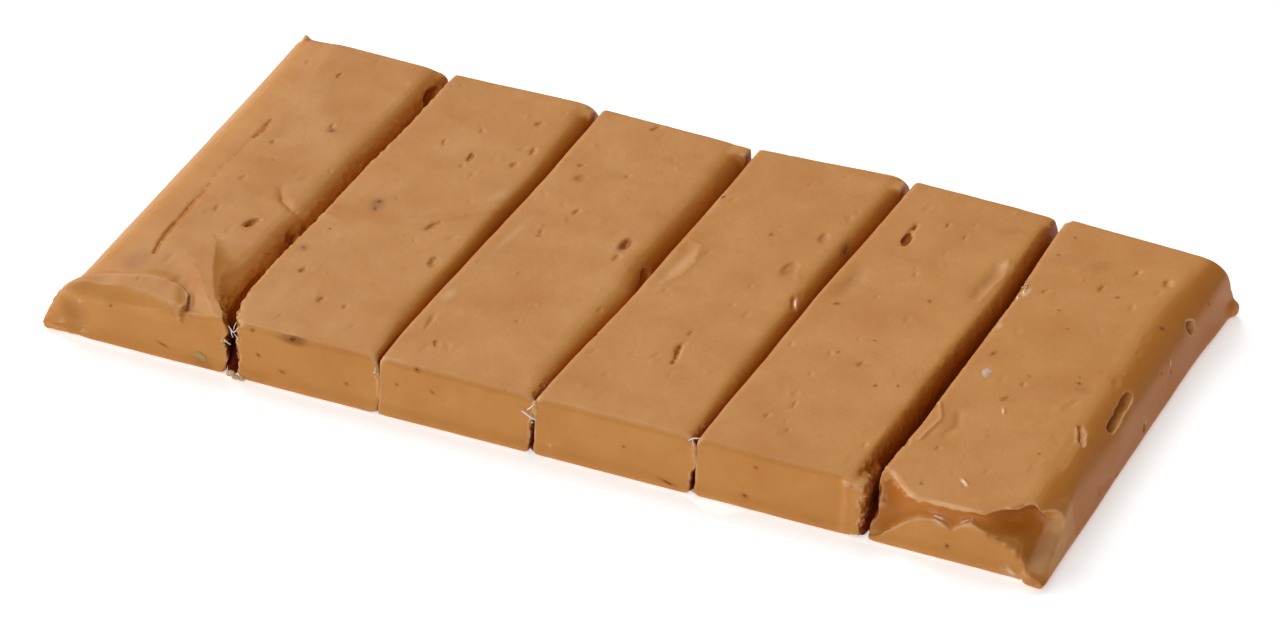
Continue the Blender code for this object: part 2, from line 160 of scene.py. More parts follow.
# strip, face, place, length, width, turn: brown skins of nuts, set into the surface
SKINS = (
    (1, "top", (-39.7, 10.8), 0.8, 0.5, 30),
    (1, "top", (-42.8, 3.4), 0.3, 0.22, 120),
    (1, "front", (-41.1, 1.7), 1.25, 0.26, -18),
    (1, "front", (-46.8, 4.8), 0.45, 0.3, 60),
    (2, "top", (-29.4, 0.6), 1.0, 0.7, 60),
    (2, "top", (-29.2, -0.7), 1.0, 0.45, 110),
    (2, "top", (-31.7, -6.0), 0.4, 0.3, 90),
    (2, "top", (-30.9, -14.1), 0.5, 0.3, 80),
    (2, "top", (-32.6, -10.2), 0.8, 0.4, 140),
    (2, "top", (-24.2, 12.3), 0.6, 0.3, 90),
    (2, "front", (-26.5, 6.05), 2.2, 0.7, 2),
    (2, "front", (-31.0, 6.0), 0.4, 0.3, 0),
    (2, "front", (-30.3, 3.4), 0.55, 0.3, -40),
    (2, "front", (-27.6, 2.2), 0.8, 0.28, -15),
    (2, "front", (-20.5, 2.7), 0.5, 0.3, -20),
    (3, "top", (-3.1, 3.4), 2.1, 0.75, 84),
    (3, "top", (-11.9, 1.6), 0.45, 0.3, 20),
    (3, "front", (-12.9, 6.2), 0.7, 0.35, -15),
    (3, "front", (-15.0, 4.1), 0.4, 0.3, 0),
    (3, "front", (-11.1, 4.2), 0.6, 0.3, -30),
    (4, "top", (2.5, 15.9), 0.5, 0.35, 60),
    (4, "top", (9.7, 11.2), 0.7, 0.4, 95),
    (4, "top", (17.35, 12.3), 2.0, 0.6, 98),
    (4, "front", (9.6, 3.6), 0.35, 0.3, 0),
    (4, "front", (14.4, 1.0), 1.8, 0.25, -12),
    (5, "top", (20.6, 2.4), 0.7, 0.45, 30),
    (5, "top", (28.9, 6.6), 0.55, 0.35, 110),
    (5, "top", (26.6, -2.2), 0.45, 0.25, 0),
    (5, "top", (24.0, -5.4), 0.45, 0.3, 60),
    (5, "top", (29.6, -9.4), 0.55, 0.35, 80),
    (5, "top", (31.7, -8.6), 0.5, 0.28, 100),
    (5, "front", (22.6, 1.6), 0.7, 0.4, -20),
    (5, "front", (23.6, 5.0), 0.4, 0.3, 0),
    (6, "top", (51.7, 12.0), 0.65, 0.55, 20),
    (6, "top", (41.3, 10.3), 0.35, 0.25, 0),
    (6, "top", (45.9, 14.8), 0.5, 0.35, 40),
    (6, "top", (38.1, 23.2), 0.45, 0.28, 130),
    (6, "top", (37.7, 19.6), 0.4, 0.3, 0),
    (6, "top", (43.3, 7.6), 0.35, 0.25, 40),
    (6, "top", (47.8, -0.9), 0.5, 0.42, 0),
    (6, "top", (47.5, 0.1), 0.35, 0.2, 120),
    (6, "top", (42.9, -1.8), 0.35, 0.28, 0),
    (6, "top", (38.2, 0.4), 0.9, 0.4, 80),
    (6, "top", (39.9, -22.8), 0.55, 0.3, 110),
    (6, "top", (48.6, -13.7), 0.4, 0.3, 0),
    (6, "end", (20.0, 4.6), 0.35, 0.3, 0),
    (6, "front", (43.8, 1.8), 0.5, 0.45, 0),
)

# strip, face, place, length, width, turn, strength: darker ovals, stains round nut skins and other
# spots, and painted shade inside pits and dents
SHADES = (
    (6, "end", (15.6, 4.45), 0.9, 0.8, 0, 0.75),
    (6, "end", (-0.9, 5.4), 2.6, 0.5, 4, 0.6),
    (6, "end", (-4.1, 5.3), 2.6, 0.5, 0, 0.6),
    (1, "top", (-47.3, -18.6), 3.6, 2.2, 95, 0.5),
    (1, "front", (-51.0, 2.9), 2.4, 2.8, 60, 0.55),
    (1, "top", (-39.6, -8.6), 2.2, 1.2, 110, 0.4),
    (1, "top", (-39.7, 10.9), 1.4, 1.2, 60, 0.5),
    (1, "front", (-36.6, 0.7), 2.6, 1.2, -20, 0.5),
    (2, "top", (-29.3, 0.1), 2.4, 1.6, 100, 0.7),
    (2, "top", (-22.4, -1.2), 2.4, 0.9, 66, 0.4),
    (2, "top", (-19.5, -7.0), 1.8, 1.2, 100, 0.45),
    (2, "top", (-32.6, -10.2), 1.4, 1.4, 0, 0.4),
    (2, "front", (-26.5, 6.0), 3.0, 1.0, 0, 0.5),
    (3, "top", (-12.4, 12.8), 1.8, 1.4, 0, 0.4),
    (3, "top", (-3.1, 3.4), 2.8, 1.2, 84, 0.5),
    (4, "top", (13.8, 5.7), 2.6, 1.3, 80, 0.4),
    (4, "top", (14.8, 12.8), 2.0, 1.1, 95, 0.35),
    (4, "top", (17.4, 12.3), 3.0, 1.2, 98, 0.5),
    (5, "top", (32.9, 12.0), 5.0, 1.1, 84, 0.45),
    (5, "top", (20.3, 6.8), 5.0, 1.6, 84, 0.3),
    (5, "top", (26.9, -6.6), 1.6, 1.1, 0, 0.35),
    (5, "top", (31.9, 21.8), 2.4, 1.3, 20, 0.25),
    (6, "top", (42.3, 19.3), 2.4, 1.8, 40, 0.3),
    (6, "top", (38.9, 18.9), 2.6, 2.2, 40, 0.25),
    (6, "top", (44.0, 15.7), 1.6, 1.2, 90, 0.35),
    (6, "top", (48.6, -1.9), 1.6, 1.4, 0, 0.4),
    (6, "top", (42.4, -6.3), 1.4, 0.9, 30, 0.4),
    (6, "top", (39.2, -12.3), 2.6, 2.0, 70, 0.3),
)

# strip, face, place, length, width, turn, strength: paler ovals, sugar-pale patches and flakes, and
# on strip 6's torn front painted highlights and painted light on its lit wall
PALES = (
    (6, "front", (50.5, 0.95), 1.1, 0.35, -30, 0.9),
    (6, "front", (53.2, 2.0), 0.5, 0.9, 0, 0.5),
    (2, "top", (-18.6, 6.8), 2.4, 1.2, 70, 0.18),
    (2, "top", (-33.3, 22.0), 3.0, 1.2, 85, 0.14),
    (3, "top", (-14.4, 0.4), 7.0, 0.7, 84, 0.16),
    (3, "top", (-15.6, -11.9), 2.2, 1.0, 84, 0.32),
    (4, "top", (3.7, 2.6), 8.0, 1.0, 83, 0.18),
    (5, "top", (33.3, 15.4), 1.6, 1.2, 60, 0.18),
    (6, "top", (37.2, 12.0), 1.6, 0.5, 85, 0.7),
    (6, "top", (37.0, 5.2), 0.9, 0.4, 90, 0.5),
    (6, "front", (53.2, 2.8), 1.5, 3.6, 15, 0.35),
)

# strip, face, place, length, width, turn: small smooth places that catch the light
GLINTS = (
    (1, "front", (-52.5, 1.5), 0.5, 0.4, 0),
    (1, "front", (-50.3, 4.4), 0.5, 0.35, 0),
    (1, "front", (-50.1, 1.0), 0.9, 0.4, 20),
    (4, "top", (16.8, 0.9), 1.2, 0.25, 118),
    (4, "front", (1.8, 1.7), 0.35, 0.3, 0),
    (6, "end", (9.4, 4.0), 0.6, 0.3, 70),
    (6, "top", (36.9, 12.2), 1.0, 0.35, 100),
    (6, "top", (36.7, 10.9), 0.7, 0.35, 100),
    (6, "top", (42.8, -8.4), 1.1, 0.2, 110),
    (6, "top", (43.7, -20.9), 1.3, 0.4, 135),
    (6, "front", (42.6, 4.4), 1.6, 0.7, -30),
    (6, "front", (45.6, 4.8), 1.3, 0.6, 10),
    (6, "front", (53.6, 1.9), 0.6, 0.8, 60),
    (6, "front", (50.6, 0.8), 1.6, 0.7, -20),
    (6, "front", (36.3, 4.0), 1.0, 1.0, 0),
)

# strip, face, width, height, the line it follows: soft creases and ridges, sunk where negative
FOLDS = (
    (2, "top", 0.8, 0.05, ((-33.8, -3.8), (-31.5, -4.0), (-27, -2.0), (-22, 0.5), (-17.5, 4.6))),
    (1, "top", 1.0, -0.12, ((-39.6, -1.2), (-38.5, -3.0), (-37.0, -4.2), (-35.5, -4.6))),
    (4, "top", 0.7, 0.06, ((2.4, 6.9), (4.0, 6.4), (4.6, 3.0), (4.3, 0.6), (3.2, -1.2))),
    (4, "top", 1.6, -0.10, ((3.0, 5.6), (3.4, 3.0), (2.9, 0.4))),
    (5, "top", 0.6, 0.06, ((33.5, 16.6), (34.0, 13.8), (33.6, 11.0), (33.5, 8.9))),
    (5, "top", 1.5, -0.12, ((33.1, 15.2), (33.0, 13.0), (32.8, 9.6))),
    (5, "top", 1.8, -0.08, ((20.2, 9.4), (20.6, 7.0), (20.2, 4.4))),
    (6, "end", 1.3, 0.16, ((-8.6, 6.0), (-12.0, 5.8), (-14.9, 5.5), (-17.5, 5.0), (-20.0, 4.1))),
    (6, "end", 1.0, -0.1, ((-11.4, 2.4), (-9.0, 1.6), (-7.0, 1.0))),
    (1, "front", 1.8, -0.35, ((-51.5, 3.6), (-51.0, 2.3), (-50.8, 1.2))),
    (6, "top", 0.5, 0.10, ((36.5, -9.6), (37.6, -12.0), (37.0, -16.0))),
    (6, "top", 0.8, -0.07, ((39.0, -10.6), (39.6, -12.6), (39.0, -14.4))),
)

# The folded flap on the front of strip 1: its edge, as (x, run), where run is y on the top and
# goes on down the front face past its rounded rim.
FLAP_EDGE = ((-52.6, -25.4), (-51.6, -24.3), (-50.4, -23.1), (-48.8, -22.4), (-46.3, -21.7))
FLAP_EDGE += ((-43.9, -21.0), (-42.2, -21.2), (-40.7, -21.5), (-39.7, -22.0), (-39.0, -23.2))
FLAP_EDGE += ((-38.7, -24.4), (-38.9, -25.3), (-38.9, -26.4))
FLAP_RISE = 0.48

# The crease on strip 1, as (x, y) on its top: right of it the top slopes down to the cut.
CREASE = ((-41.4, -12.6), (-40.6, -14.3), (-39.5, -16.9), (-38.2, -19.4), (-36.7, -22.0))
CREASE += ((-35.7, -22.9), (-34.7, -24.2), (-34.2, -25.2))

# strip, middle, radii, turn, unevenness: what was bitten or torn out of the strips' edges
BITES = (
    (1, (-34.6, -7.7, 5.6), (1.0, 2.2, 2.0), 4, 0.5),
    (2, (-33.9, -4.9, 6.5), (0.3, 0.5, 0.5), 0, 0.5),
    (2, (-34.7, -15.8, 6.4), (0.6, 0.5, 0.7), 0, 0.5),
    (2, (-34.6, -14.8, 6.4), (0.35, 0.35, 0.5), 0, 0.5),
    (2, (-34.2, -23.2, 6.4), (0.5, 0.45, 0.7), 0, 0.5),
    (4, (0.6, -12.2, 6.5), (0.35, 0.5, 0.5), 0, 0.5),
    (6, (35.9, -17.1, 6.5), (0.45, 0.6, 0.6), 0, 0.5),
    (3, (1.3, 0.1, 5.4), (1.15, 2.3, 1.7), 23, 0.15),
    (1, (-33.8, 22.7, 4.9), (0.8, 1.9, 1.3), 0, 0.15),
    (6, (35.4, 26.9, 5.6), (1.3, 1.6, 2.2), 30, 0.1),
)

# strip, low corner, high corner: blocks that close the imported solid's own hollows before the
# finer ones are cut, and that fill the back right corners and strip 5's front right corner
BLOCKS = (
    (6, (36.1, -25.25, 1.2), (47.5, -22.0, 5.8)),
    (6, (47.0, -24.2, 3.6), (51.6, -20.5, 5.8)),
    (6, (51.2, -24.2, 1.0), (53.2, -20.5, 4.2)),
    (2, (-18.2, 24.4, 0.6), (-16.3, 25.9, 6.2)),
    (3, (-0.3, 23.8, 0.6), (1.5, 25.7, 6.3)),
    (4, (16.8, 24.4, 0.6), (18.6, 26.0, 6.3)),
    (5, (33.2, 24.2, 0.6), (35.0, 25.9, 6.3)),
    (5, (32.4, -25.1, 0.6), (35.0, -23.9, 6.2)),
    (5, (31.8, -24.2, 0.6), (34.9, -22.4, 5.8)),
    (5, (31.8, -22.6, 0.6), (34.6, -19.6, 5.1)),
)

# strip, radius, line: rods that close its grooves and end hollows, and round off what fills
# strip 5's front right corner, at x, y, z
RODS = (
    (6, 2.6, ((51.1, -6.5, 3.45), (50.9, 0.0, 3.45), (50.9, 12.0, 3.45), (51.05, 16.8, 3.45))),
    (1, 0.5, ((-46.9, -17.6, 5.72), (-47.0, -6.0, 5.74), (-47.0, 4.0, 5.66), (-47.0, 11.0, 5.66))),
    (5, 0.8, ((33.4, -25.2, 0.6), (33.4, -25.04, 3.4), (33.4, -24.85, 6.2))),
    (5, 0.8, ((34.25, -25.2, 0.6), (34.25, -25.04, 3.4), (34.25, -24.85, 6.2))),
)

# The torn front of strip 6: at each x its surface, from the mounds' ridge up to the lip, as (z, y)
TEAR = (
    (35.2, ((0.3, -25.5), (1.3, -25.3), (2.5, -25.0), (3.5, -24.7), (4.6, -24.1), (6.4, -22.2))),
    (36.1, ((0.6, -25.5), (1.2, -25.1), (2.4, -24.5), (3.6, -24.2), (4.8, -23.7), (6.4, -22.2))),
    (36.8, ((1.0, -25.5), (1.4, -25.0), (2.4, -24.4), (3.8, -24.0), (5.2, -23.2), (6.4, -22.5))),
    (38.1, ((2.2, -25.4), (2.6, -24.8), (3.2, -24.5), (4.2, -24.3), (5.4, -24.0), (6.4, -23.9))),
    (39.2, ((3.1, -25.3), (3.45, -24.8), (4.0, -24.6), (5.0, -24.6), (5.8, -24.7), (6.4, -25.0))),
    (40.7, ((4.0, -25.3), (4.3, -24.8), (4.7, -24.7), (5.2, -24.8), (5.8, -25.1), (6.4, -25.5))),
    (42.1, ((4.25, -25.3), (4.5, -24.8), (4.9, -24.7), (5.3, -24.8), (5.8, -25.0), (6.4, -25.4))),
    (43.3, ((3.9, -25.3), (4.15, -24.8), (4.7, -24.6), (5.2, -24.7), (5.8, -24.9), (6.4, -25.3))),
    (44.0, ((3.5, -25.35), (3.8, -24.8), (4.4, -24.5), (5.0, -24.6), (5.7, -24.9), (6.4, -25.3))),
    (44.7, ((4.1, -25.3), (4.35, -24.8), (4.9, -24.6), (5.3, -24.7), (5.8, -24.9), (6.4, -25.3))),
    (46.0, ((4.9, -25.3), (5.1, -24.7), (5.4, -24.6), (5.7, -24.7), (6.0, -24.9), (6.4, -25.3))),
    (47.3, ((4.35, -25.3), (4.55, -24.4), (5.0, -24.1), (5.5, -24.3), (6.0, -24.9), (6.4, -25.4))),
    (48.05, ((4.05, -25.3), (4.25, -24.2), (4.8, -23.3), (5.4, -23.0), (6.0, -23.8), (6.4, -24.5))),
    (49.0, ((3.8, -25.3), (4.0, -24.1), (4.4, -22.6), (5.2, -22.0), (6.0, -22.9), (6.4, -23.6))),
    (49.9, ((3.7, -25.3), (3.9, -24.1), (4.3, -22.3), (5.2, -21.6), (6.0, -22.8), (6.4, -23.6))),
    (50.4, ((3.65, -25.3), (3.85, -23.8), (4.3, -21.7), (5.1, -20.9), (6.0, -21.7), (6.4, -22.3))),
    (50.9, ((3.2, -25.35), (3.4, -24.0), (4.0, -21.6), (5.0, -20.5), (5.9, -21.1), (6.4, -21.8))),
    (51.4, ((2.2, -25.4), (2.5, -24.0), (3.0, -22.4), (4.0, -20.9), (5.0, -20.4), (6.4, -22.0))),
    (52.0, ((1.6, -25.9), (1.8, -24.5), (2.2, -23.0), (3.0, -21.1), (4.0, -20.3), (6.4, -22.7))),
    (52.6, ((1.5, -26.2), (1.8, -24.8), (2.3, -22.9), (3.1, -20.9), (4.0, -20.2), (6.4, -21.4))),
    (53.2, ((1.3, -26.2), (1.7, -24.8), (2.2, -22.8), (3.0, -20.9), (4.0, -20.3), (6.4, -20.0))),
    (53.8, ((1.0, -25.95), (1.5, -24.8), (2.1, -23.1), (3.0, -21.1), (3.6, -20.4), (6.4, -20.0))),
    (54.3, ((0.4, -25.6), (1.0, -25.0), (1.5, -24.4), (2.0, -23.3), (3.0, -21.0), (6.4, -20.0))),
    (55.2, ((0.4, -25.6), (1.0, -25.0), (1.5, -24.4), (2.0, -23.3), (3.0, -21.0), (6.4, -20.0))),
)

# middle, spread, size, count: crumbs at the front ends of the cuts
CRUMBS = (
    ((-33.3, -25.6, 0.35), (0.35, 0.1, 0.2), 0.28, 9),
    ((-32.3, -25.85, 0.25), (0.55, 0.1, 0.1), 0.22, 9),
    ((-34.2, -25.35, 3.8), (0.15, 0.1, 0.5), 0.14, 5),
    ((-17.3, -25.4, 4.9), (0.12, 0.08, 0.6), 0.12, 6),
    ((-17.2, -25.45, 0.4), (0.4, 0.1, 0.15), 0.16, 4),
    ((-0.2, -25.4, 4.3), (0.35, 0.1, 0.5), 0.14, 6),
    ((17.1, -25.45, 0.5), (0.3, 0.1, 0.4), 0.15, 5),
    ((36.7, 13.2, 6.4), (0.25, 0.9, 0.05), 0.11, 8),
)

# radius, line: shreds of film, at x, y, z
SHREDS = (
    (0.07, ((-33.6, -25.2, 5.9), (-33.3, -25.3, 5.6), (-32.9, -25.4, 5.3), (-32.6, -25.3, 5.9))),
    (0.06, ((-33.3, -25.3, 5.6), (-33.2, -25.4, 5.0), (-33.0, -25.4, 4.8))),
    (0.06, ((-32.9, -25.4, 5.3), (-32.5, -25.5, 5.0), (-32.4, -25.5, 4.7))),
    (0.05, ((-33.0, -25.3, 5.7), (-32.8, -25.3, 6.4), (-32.7, -25.2, 6.6))),
    (0.09, ((-34.2, -25.2, 4.2), (-33.8, -25.3, 3.9), (-33.4, -25.2, 3.7))),
    (0.1, ((-1.3, -25.5, 4.9), (-0.8, -25.6, 4.8), (-0.2, -25.6, 4.4), (0.3, -25.5, 4.2))),
    (0.08, ((-0.7, -25.55, 5.2), (-0.3, -25.6, 5.6), (0.1, -25.5, 6.1))),
    (0.07, ((16.5, -25.3, 6.3), (16.9, -25.2, 6.6), (17.3, -25.1, 6.65), (17.6, -24.9, 6.6))),
    (0.06, ((16.9, -25.2, 6.6), (17.0, -25.4, 6.2), (17.2, -25.45, 5.8))),
)

# radius, and x at each of these places along y: taffy that runs together at the foot of the cuts,
# coloured in painted shade
WEB_PLACES = (-25.2, -23.0, -20.0, -10.0, 0.0, 10.0, 25.8)
WEBS = (
    (0.9, (-33.3, -33.9, -34.6, -34.6, -34.1, -33.7, -33.2)),
    (0.7, (-17.4, -17.4, -17.3, -17.0, -16.7, -16.2, -16.0)),
    (0.7, (-0.1, -0.1, 0.0, 0.6, 0.9, 1.4, 1.7)),
    (0.7, (17.0, 17.0, 17.1, 17.4, 17.7, 18.1, 18.8)),
    (1.05, (34.6, 34.7, 34.9, 35.4, 35.6, 35.9, 35.6)),
)

# strip, middle, radii, turn: small ears and lumps that stand on the strips' edges
LUMPS = (
    (1, (-34.9, 25.5, 5.3), (1.5, 1.1, 0.8), 20),
    (2, (-17.7, 25.9, 5.9), (0.9, 0.6, 0.45), -20),
    (1, (-52.9, -25.1, 1.05), (1.6, 1.0, 0.95), 0),
    (2, (-17.2, -25.0, 2.7), (0.4, 0.5, 2.9), 0),
    (3, (0.0, -25.0, 5.0), (0.4, 0.45, 1.3), 0),
    (4, (17.05, -25.0, 4.4), (0.4, 0.45, 1.6), 0),
    (6, (52.8, -25.55, 1.0), (1.25, 1.0, 1.0), 0),
    (6, (54.5, 25.1, 1.0), (0.8, 1.0, 0.9), 0),
)

# strip, foot, tip, radius: thin points drawn out of the strips' corners
SPIKES = (
    (1, (-50.2, 26.3, 5.9), (-50.6, 26.9, 6.55), 0.55),
)

# strip: which of its cut faces was torn and not sliced, right as 1 and left as -1, and how much
TORN_FACES = {1: (1, 0.8), 2: (-1, 1.0), 3: (1, 0.3), 4: (1, 0.3), 5: (1, 0.6), 6: (-1, 0.3)}

# strip: how much painted shade its cut faces take on towards their foot, deep in the cuts
CUT_FOOT_SHADE = {1: 0.85, 2: 0.85, 3: 0.85, 4: 0.7, 5: 0.55, 6: 0.85}

# How far in along the bar the sloping faces at its two ends reach, and where the torn front of
# strip 6 starts
END_REACH, TEAR_START = 8.0, 37.0

# Random shallow dents on each strip's top: their count, and what is drawn for each
DENTS, DENT_SIZES, DENT_TURNS, DENT_HEIGHTS = 30, (0.5, 1.3), (60, 120), (-0.05, -0.03, 0.03)

# Heights of the glints, of the bulge along the foot of the front faces and of torn cut faces
GLINT_RISE, FOOT_BULGE, RIP_RISE = 0.07, 0.25, 0.35

# Right of its crease strip 1 sinks by this, over this width. Its front rim is rounded off from
# this y and z, by these radii, each at its x
CREASE_DROP, CREASE_WIDTH, RIM_Y, RIM_Z = 1.1, 2.6, -25.3, 6.4
RIM_RADII = ((-52.0, -47.0, -43.0, -40.5, -38.4), (2.2, 2.0, 1.6, 1.0, 0.4))

# The share of the flap's rise that is left far inside it, and how soon it falls to that
FLAP_INSIDE, FLAP_FALL = 0.4, 1.8

# Strengths of the masks: painted shade in creases, painted highlight on edges and its share on
# strip 1, the painted highlight on the flap's rim and the painted sheen on the bevelled left end
SHADE_IN_CREASES, EDGE_HIGHLIGHT, LEFT_EDGE_HIGHLIGHT, FLAP_RIM_HIGHLIGHT, BEVEL_SHEEN = 0.3, 0.35, 0.45, 0.2, 0.15

# The same on strip 6: the painted highlight on the torn lip and the painted light on the wall
# behind it, the painted shade on the right end's shoulder and face and in the torn hollow. Then the
# stain of a nut skin
LIP_HIGHLIGHT, BOWL_LIGHT, SHOULDER_SHADE, END_SHADE, HOLLOW_SHADE = 0.6, 0.35, 0.6, 0.85, 0.12
SKIN_STAIN = 0.65

# Cells of the cutters and of a quick draft
CUTTER_CELL, DRAFT_CELL = 0.07, 0.3

# How much longer and wider than its mouth a pit's cutter is, and its unevenness and a lump's
PIT_LONGER, PIT_WIDER, PIT_UNEVEN, LUMP_UNEVEN = 1.1, 1.15, 0.3, 0.2

# The step between the points of a crack, how far they stray, and the share of its width at its ends
CRACK_STEP, CRACK_STRAY, CRACK_TIP = 0.5, 0.07, 0.35

# How deep the layer of points at a solid's base and the underside's are, and what is kept of it
BASE_BAND, BOTTOM_BAND, BOTTOM_KEPT = 0.05, 0.16, 0.03

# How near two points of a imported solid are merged, in metres
WELD = 1e-6

# The cutter of the torn front: its rows and step, how it leans out below the tear's foot, as y
# and z, and how high and how far forward it reaches
TEAR_ROWS, TEAR_STEP, TEAR_LEAN, TEAR_TOP, TEAR_REACH = 24, 0.2, (-3.2, -0.9), 8.0, 5.0

# Half the thickness of the nut skins, and how deep their middles lie
SKIN_THICK, SKIN_SINK = 0.08, 0.065

# The webs' clearance over the film's base, and the share of their radius at the front and back ends
WEB_CLEAR, WEB_FRONT, WEB_BACK = 0.12, 0.6, 1.4

# The chip and the flake: strip, face, place, radii, turn
CHIPS = {
    "nut_chip": (1, "front", (-36.9, 1.5), (0.85, 0.5, 0.22), -18),
    "pale_flake": (6, "top", (38.9, -3.0), (0.5, 0.75, 0.07), 10),
}

# The stage, in metres and degrees: the floor and how far it is under the film, the square lamps
# with the turn and rise of each, and the camera, which aims at a place in millimetres
FLOOR_SIZE, FLOOR_DROP = 3.0, 0.02 * MM
LAMP_SIZE, LAMP_REACH = 4.5, 8.0
LAMPS = {"side": (270, 20), "rear": (225, 45), "front": (0, 45)}
AIM = (-0.85, 2.18, 0.0)
CAMERA_TURN, CAMERA_RISE, CAMERA_REACH, SENSOR_WIDTH = 23.917, 34.059, 0.72711, 36.0


# ---- Small helpers ----


def owned(table, number):
    """A table's rows for this strip, each led by its order in the whole table."""
    return [(order, *row[1:]) for order, row in enumerate(table) if row[0] == number]


def only(thing):
    """Leaves this object alone selected and active, in object mode."""
    if bpy.context.mode != "OBJECT":
        bpy.ops.object.mode_set(mode="OBJECT")
    bpy.ops.object.select_all(action="DESELECT")
    thing.select_set(True)
    bpy.context.view_layer.objects.active = thing


def work(thing, kind, **settings):
    """Adds one modifier with these settings and applies it."""
    only(thing)
    modifier = thing.modifiers.new(kind.title(), kind)
    for key, value in settings.items():
        setattr(modifier, key, value)
    bpy.ops.object.modifier_apply(modifier=modifier.name)


def joined(things, name):
    """One object made of these, under this name."""
    only(things[0])
    for thing in things[1:]:
        thing.select_set(True)
    if len(things) > 1:
        bpy.ops.object.join()
    made = bpy.context.view_layer.objects.active
    made.name = made.data.name = name
    return made


def settled(thing):
    """Puts the object's place, turn and size into its mesh."""
    only(thing)
    bpy.ops.object.transform_apply(location=True, rotation=True, scale=True)
    return thing


def merged_copy(node, name):
    """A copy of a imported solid, its loose triangles merged into one skin."""
    made = bpy.data.objects.new(name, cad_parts[node].data.copy())
    bpy.context.scene.collection.objects.link(made)
    only(made)
    bpy.ops.object.mode_set(mode="EDIT")
    bpy.context.tool_settings.mesh_select_mode = (True, False, False)
    bpy.ops.mesh.select_all(action="SELECT")
    bpy.ops.mesh.remove_doubles(threshold=WELD)
    bpy.ops.mesh.select_all(action="DESELECT")
    bpy.ops.object.mode_set(mode="OBJECT")
    return made


def points_of(thing):
    """The mesh's points in millimetres."""
    flat = np.empty(len(thing.data.vertices) * 3, np.float32)
    thing.data.vertices.foreach_get("co", flat)
    return flat.reshape(-1, 3).astype(float) / MM


def normals_of(thing):
    """The directions in which the mesh's points face."""
    flat = np.empty(len(thing.data.vertices) * 3, np.float32)
    thing.data.vertex_normals.foreach_get("vector", flat)
    return flat.reshape(-1, 3).astype(float)


def store(thing, name, values):
    """Keeps one value for each point of the mesh."""
    kept = thing.data.attributes.new(name, "FLOAT", "POINT")
    kept.data.foreach_set("value", values.astype(np.float32))


def smooth(value, low, high):
    """0 below low, 1 above high and a soft step between them."""
    share = np.clip((value - low) / (high - low), 0.0, 1.0)
    return share * share * (3.0 - 2.0 * share)


def bump(value, middle, width):
    """1 at the middle and a soft fall to 0 on both sides of it."""
    return np.exp(-(((value - middle) / width) ** 2))


def flat_place(face, points):
    """The two coordinates of these points on a face, as its tables give them."""
    return points[:, FACES[face][:2]]


def on_face(face, points, normals):
    """How far each point belongs to a face, from 0 to 1."""
    _, _, through, outside, limits = FACES[face]
    return smooth(math.copysign(1.0, outside) * normals[:, through], *limits)


def spot(points, normals, face, place, long, wide, turn, edge):
    """1 inside an oval on a face and 0 outside it, with a soft edge."""
    across = flat_place(face, points) - np.array(place)
    angle = math.radians(turn)
    along = across[:, 0] * math.cos(angle) + across[:, 1] * math.sin(angle)
    aside = across[:, 1] * math.cos(angle) - across[:, 0] * math.sin(angle)
    reach = np.hypot(along / (long / 2), aside / (wide / 2))
    return (1.0 - smooth(reach, 1.0 - edge, 1.0 + edge)) * on_face(face, points, normals)


def spots(table, number, points, normals, wider=(1.0, 1.0)):
    """The strongest of a table's ovals at each point of a strip."""
    most = np.zeros(len(points))
    for _, face, place, long, wide, turn, *strength in owned(table, number):
        sizes = (long * wider[0], wide * wider[1])
        oval = spot(points, normals, face, place, *sizes, turn, 0.7)
        most = np.maximum(most, strength[0] * oval if strength else oval)
    return most


def line_reach(places, line):
    """How far each place is from a line, and on which side: positive on its right."""
    least = np.full(len(places), 1e9)
    side = np.zeros(len(places))
    for start, end in zip(line[:-1], line[1:]):
        start, end = np.array(start), np.array(end)
        step = end - start
        share = np.clip((places - start) @ step / (step @ step), 0.0, 1.0)
        away = places - start - share[:, None] * step
        reach = np.hypot(away[:, 0], away[:, 1])
        turned = step[1] * away[:, 0] - step[0] * away[:, 1]
        nearer = reach < least
        least = np.where(nearer, reach, least)
        side = np.where(nearer, np.sign(turned), side)
    return least, side


def weigh(thing, name, shares, least):
    """A vertex group of these shares, apart from those up to the least one."""
    group = thing.vertex_groups.new(name=name)
    for place in np.nonzero(shares > least)[0]:
        group.add([int(place)], float(shares[place]), "REPLACE")
    return group.name


def lift(thing, heights, name):
    """Moves each point along its normal by its height in millimetres."""
    for sign, part in ((1, "up"), (-1, "down")):
        most = float(np.max(sign * heights, initial=0.0))
        if most < 1e-4:
            continue
        shares = np.clip(sign * heights / most, 0.0, 1.0)
        group = weigh(thing, f"{name}_{part}", shares, 0.004)
        settings = dict(vertex_group=group, strength=sign * most * MM, mid_level=0.0)
        work(thing, "DISPLACE", direction="NORMAL", **settings)
        thing.vertex_groups.clear()


def grain(name, size, depth):
    """A procedural pattern for roughening meshes, its features about size millimetres wide."""
    pattern = bpy.data.textures.new(name, "CLOUDS")
    pattern.noise_scale = size * MM
    pattern.noise_depth = depth
    return pattern


def landing(thing, face, place):
    """The point in metres and the outward normal where a mark at this place meets a mesh."""
    first, second, through, outside, _ = FACES[face]
    start, way = Vector(), Vector()
    start[first], start[second], start[through] = place[0] * MM, place[1] * MM, outside
    way[through] = -math.copysign(1.0, outside)
    hit, point, normal, _ = thing.ray_cast(start, way)
    if not hit:
        raise RuntimeError(f"nothing of {thing.name} lies under the {face} mark at {place}")
    return point, normal


def facing(face, normal, turn):
    """The turn that lays a mark flat on its face, its length along the face's direction."""
    along = Vector()
    along[FACES[face][0]] = math.cos(math.radians(turn))
    along[FACES[face][1]] = math.sin(math.radians(turn))
    along = (along - normal * along.dot(normal)).normalized()
    aside = normal.cross(along)
    return Matrix((along, aside, normal)).transposed().to_quaternion()


def upright(turn):
    """A turn about the vertical, from degrees."""
    return Quaternion((0, 0, 1), math.radians(turn))


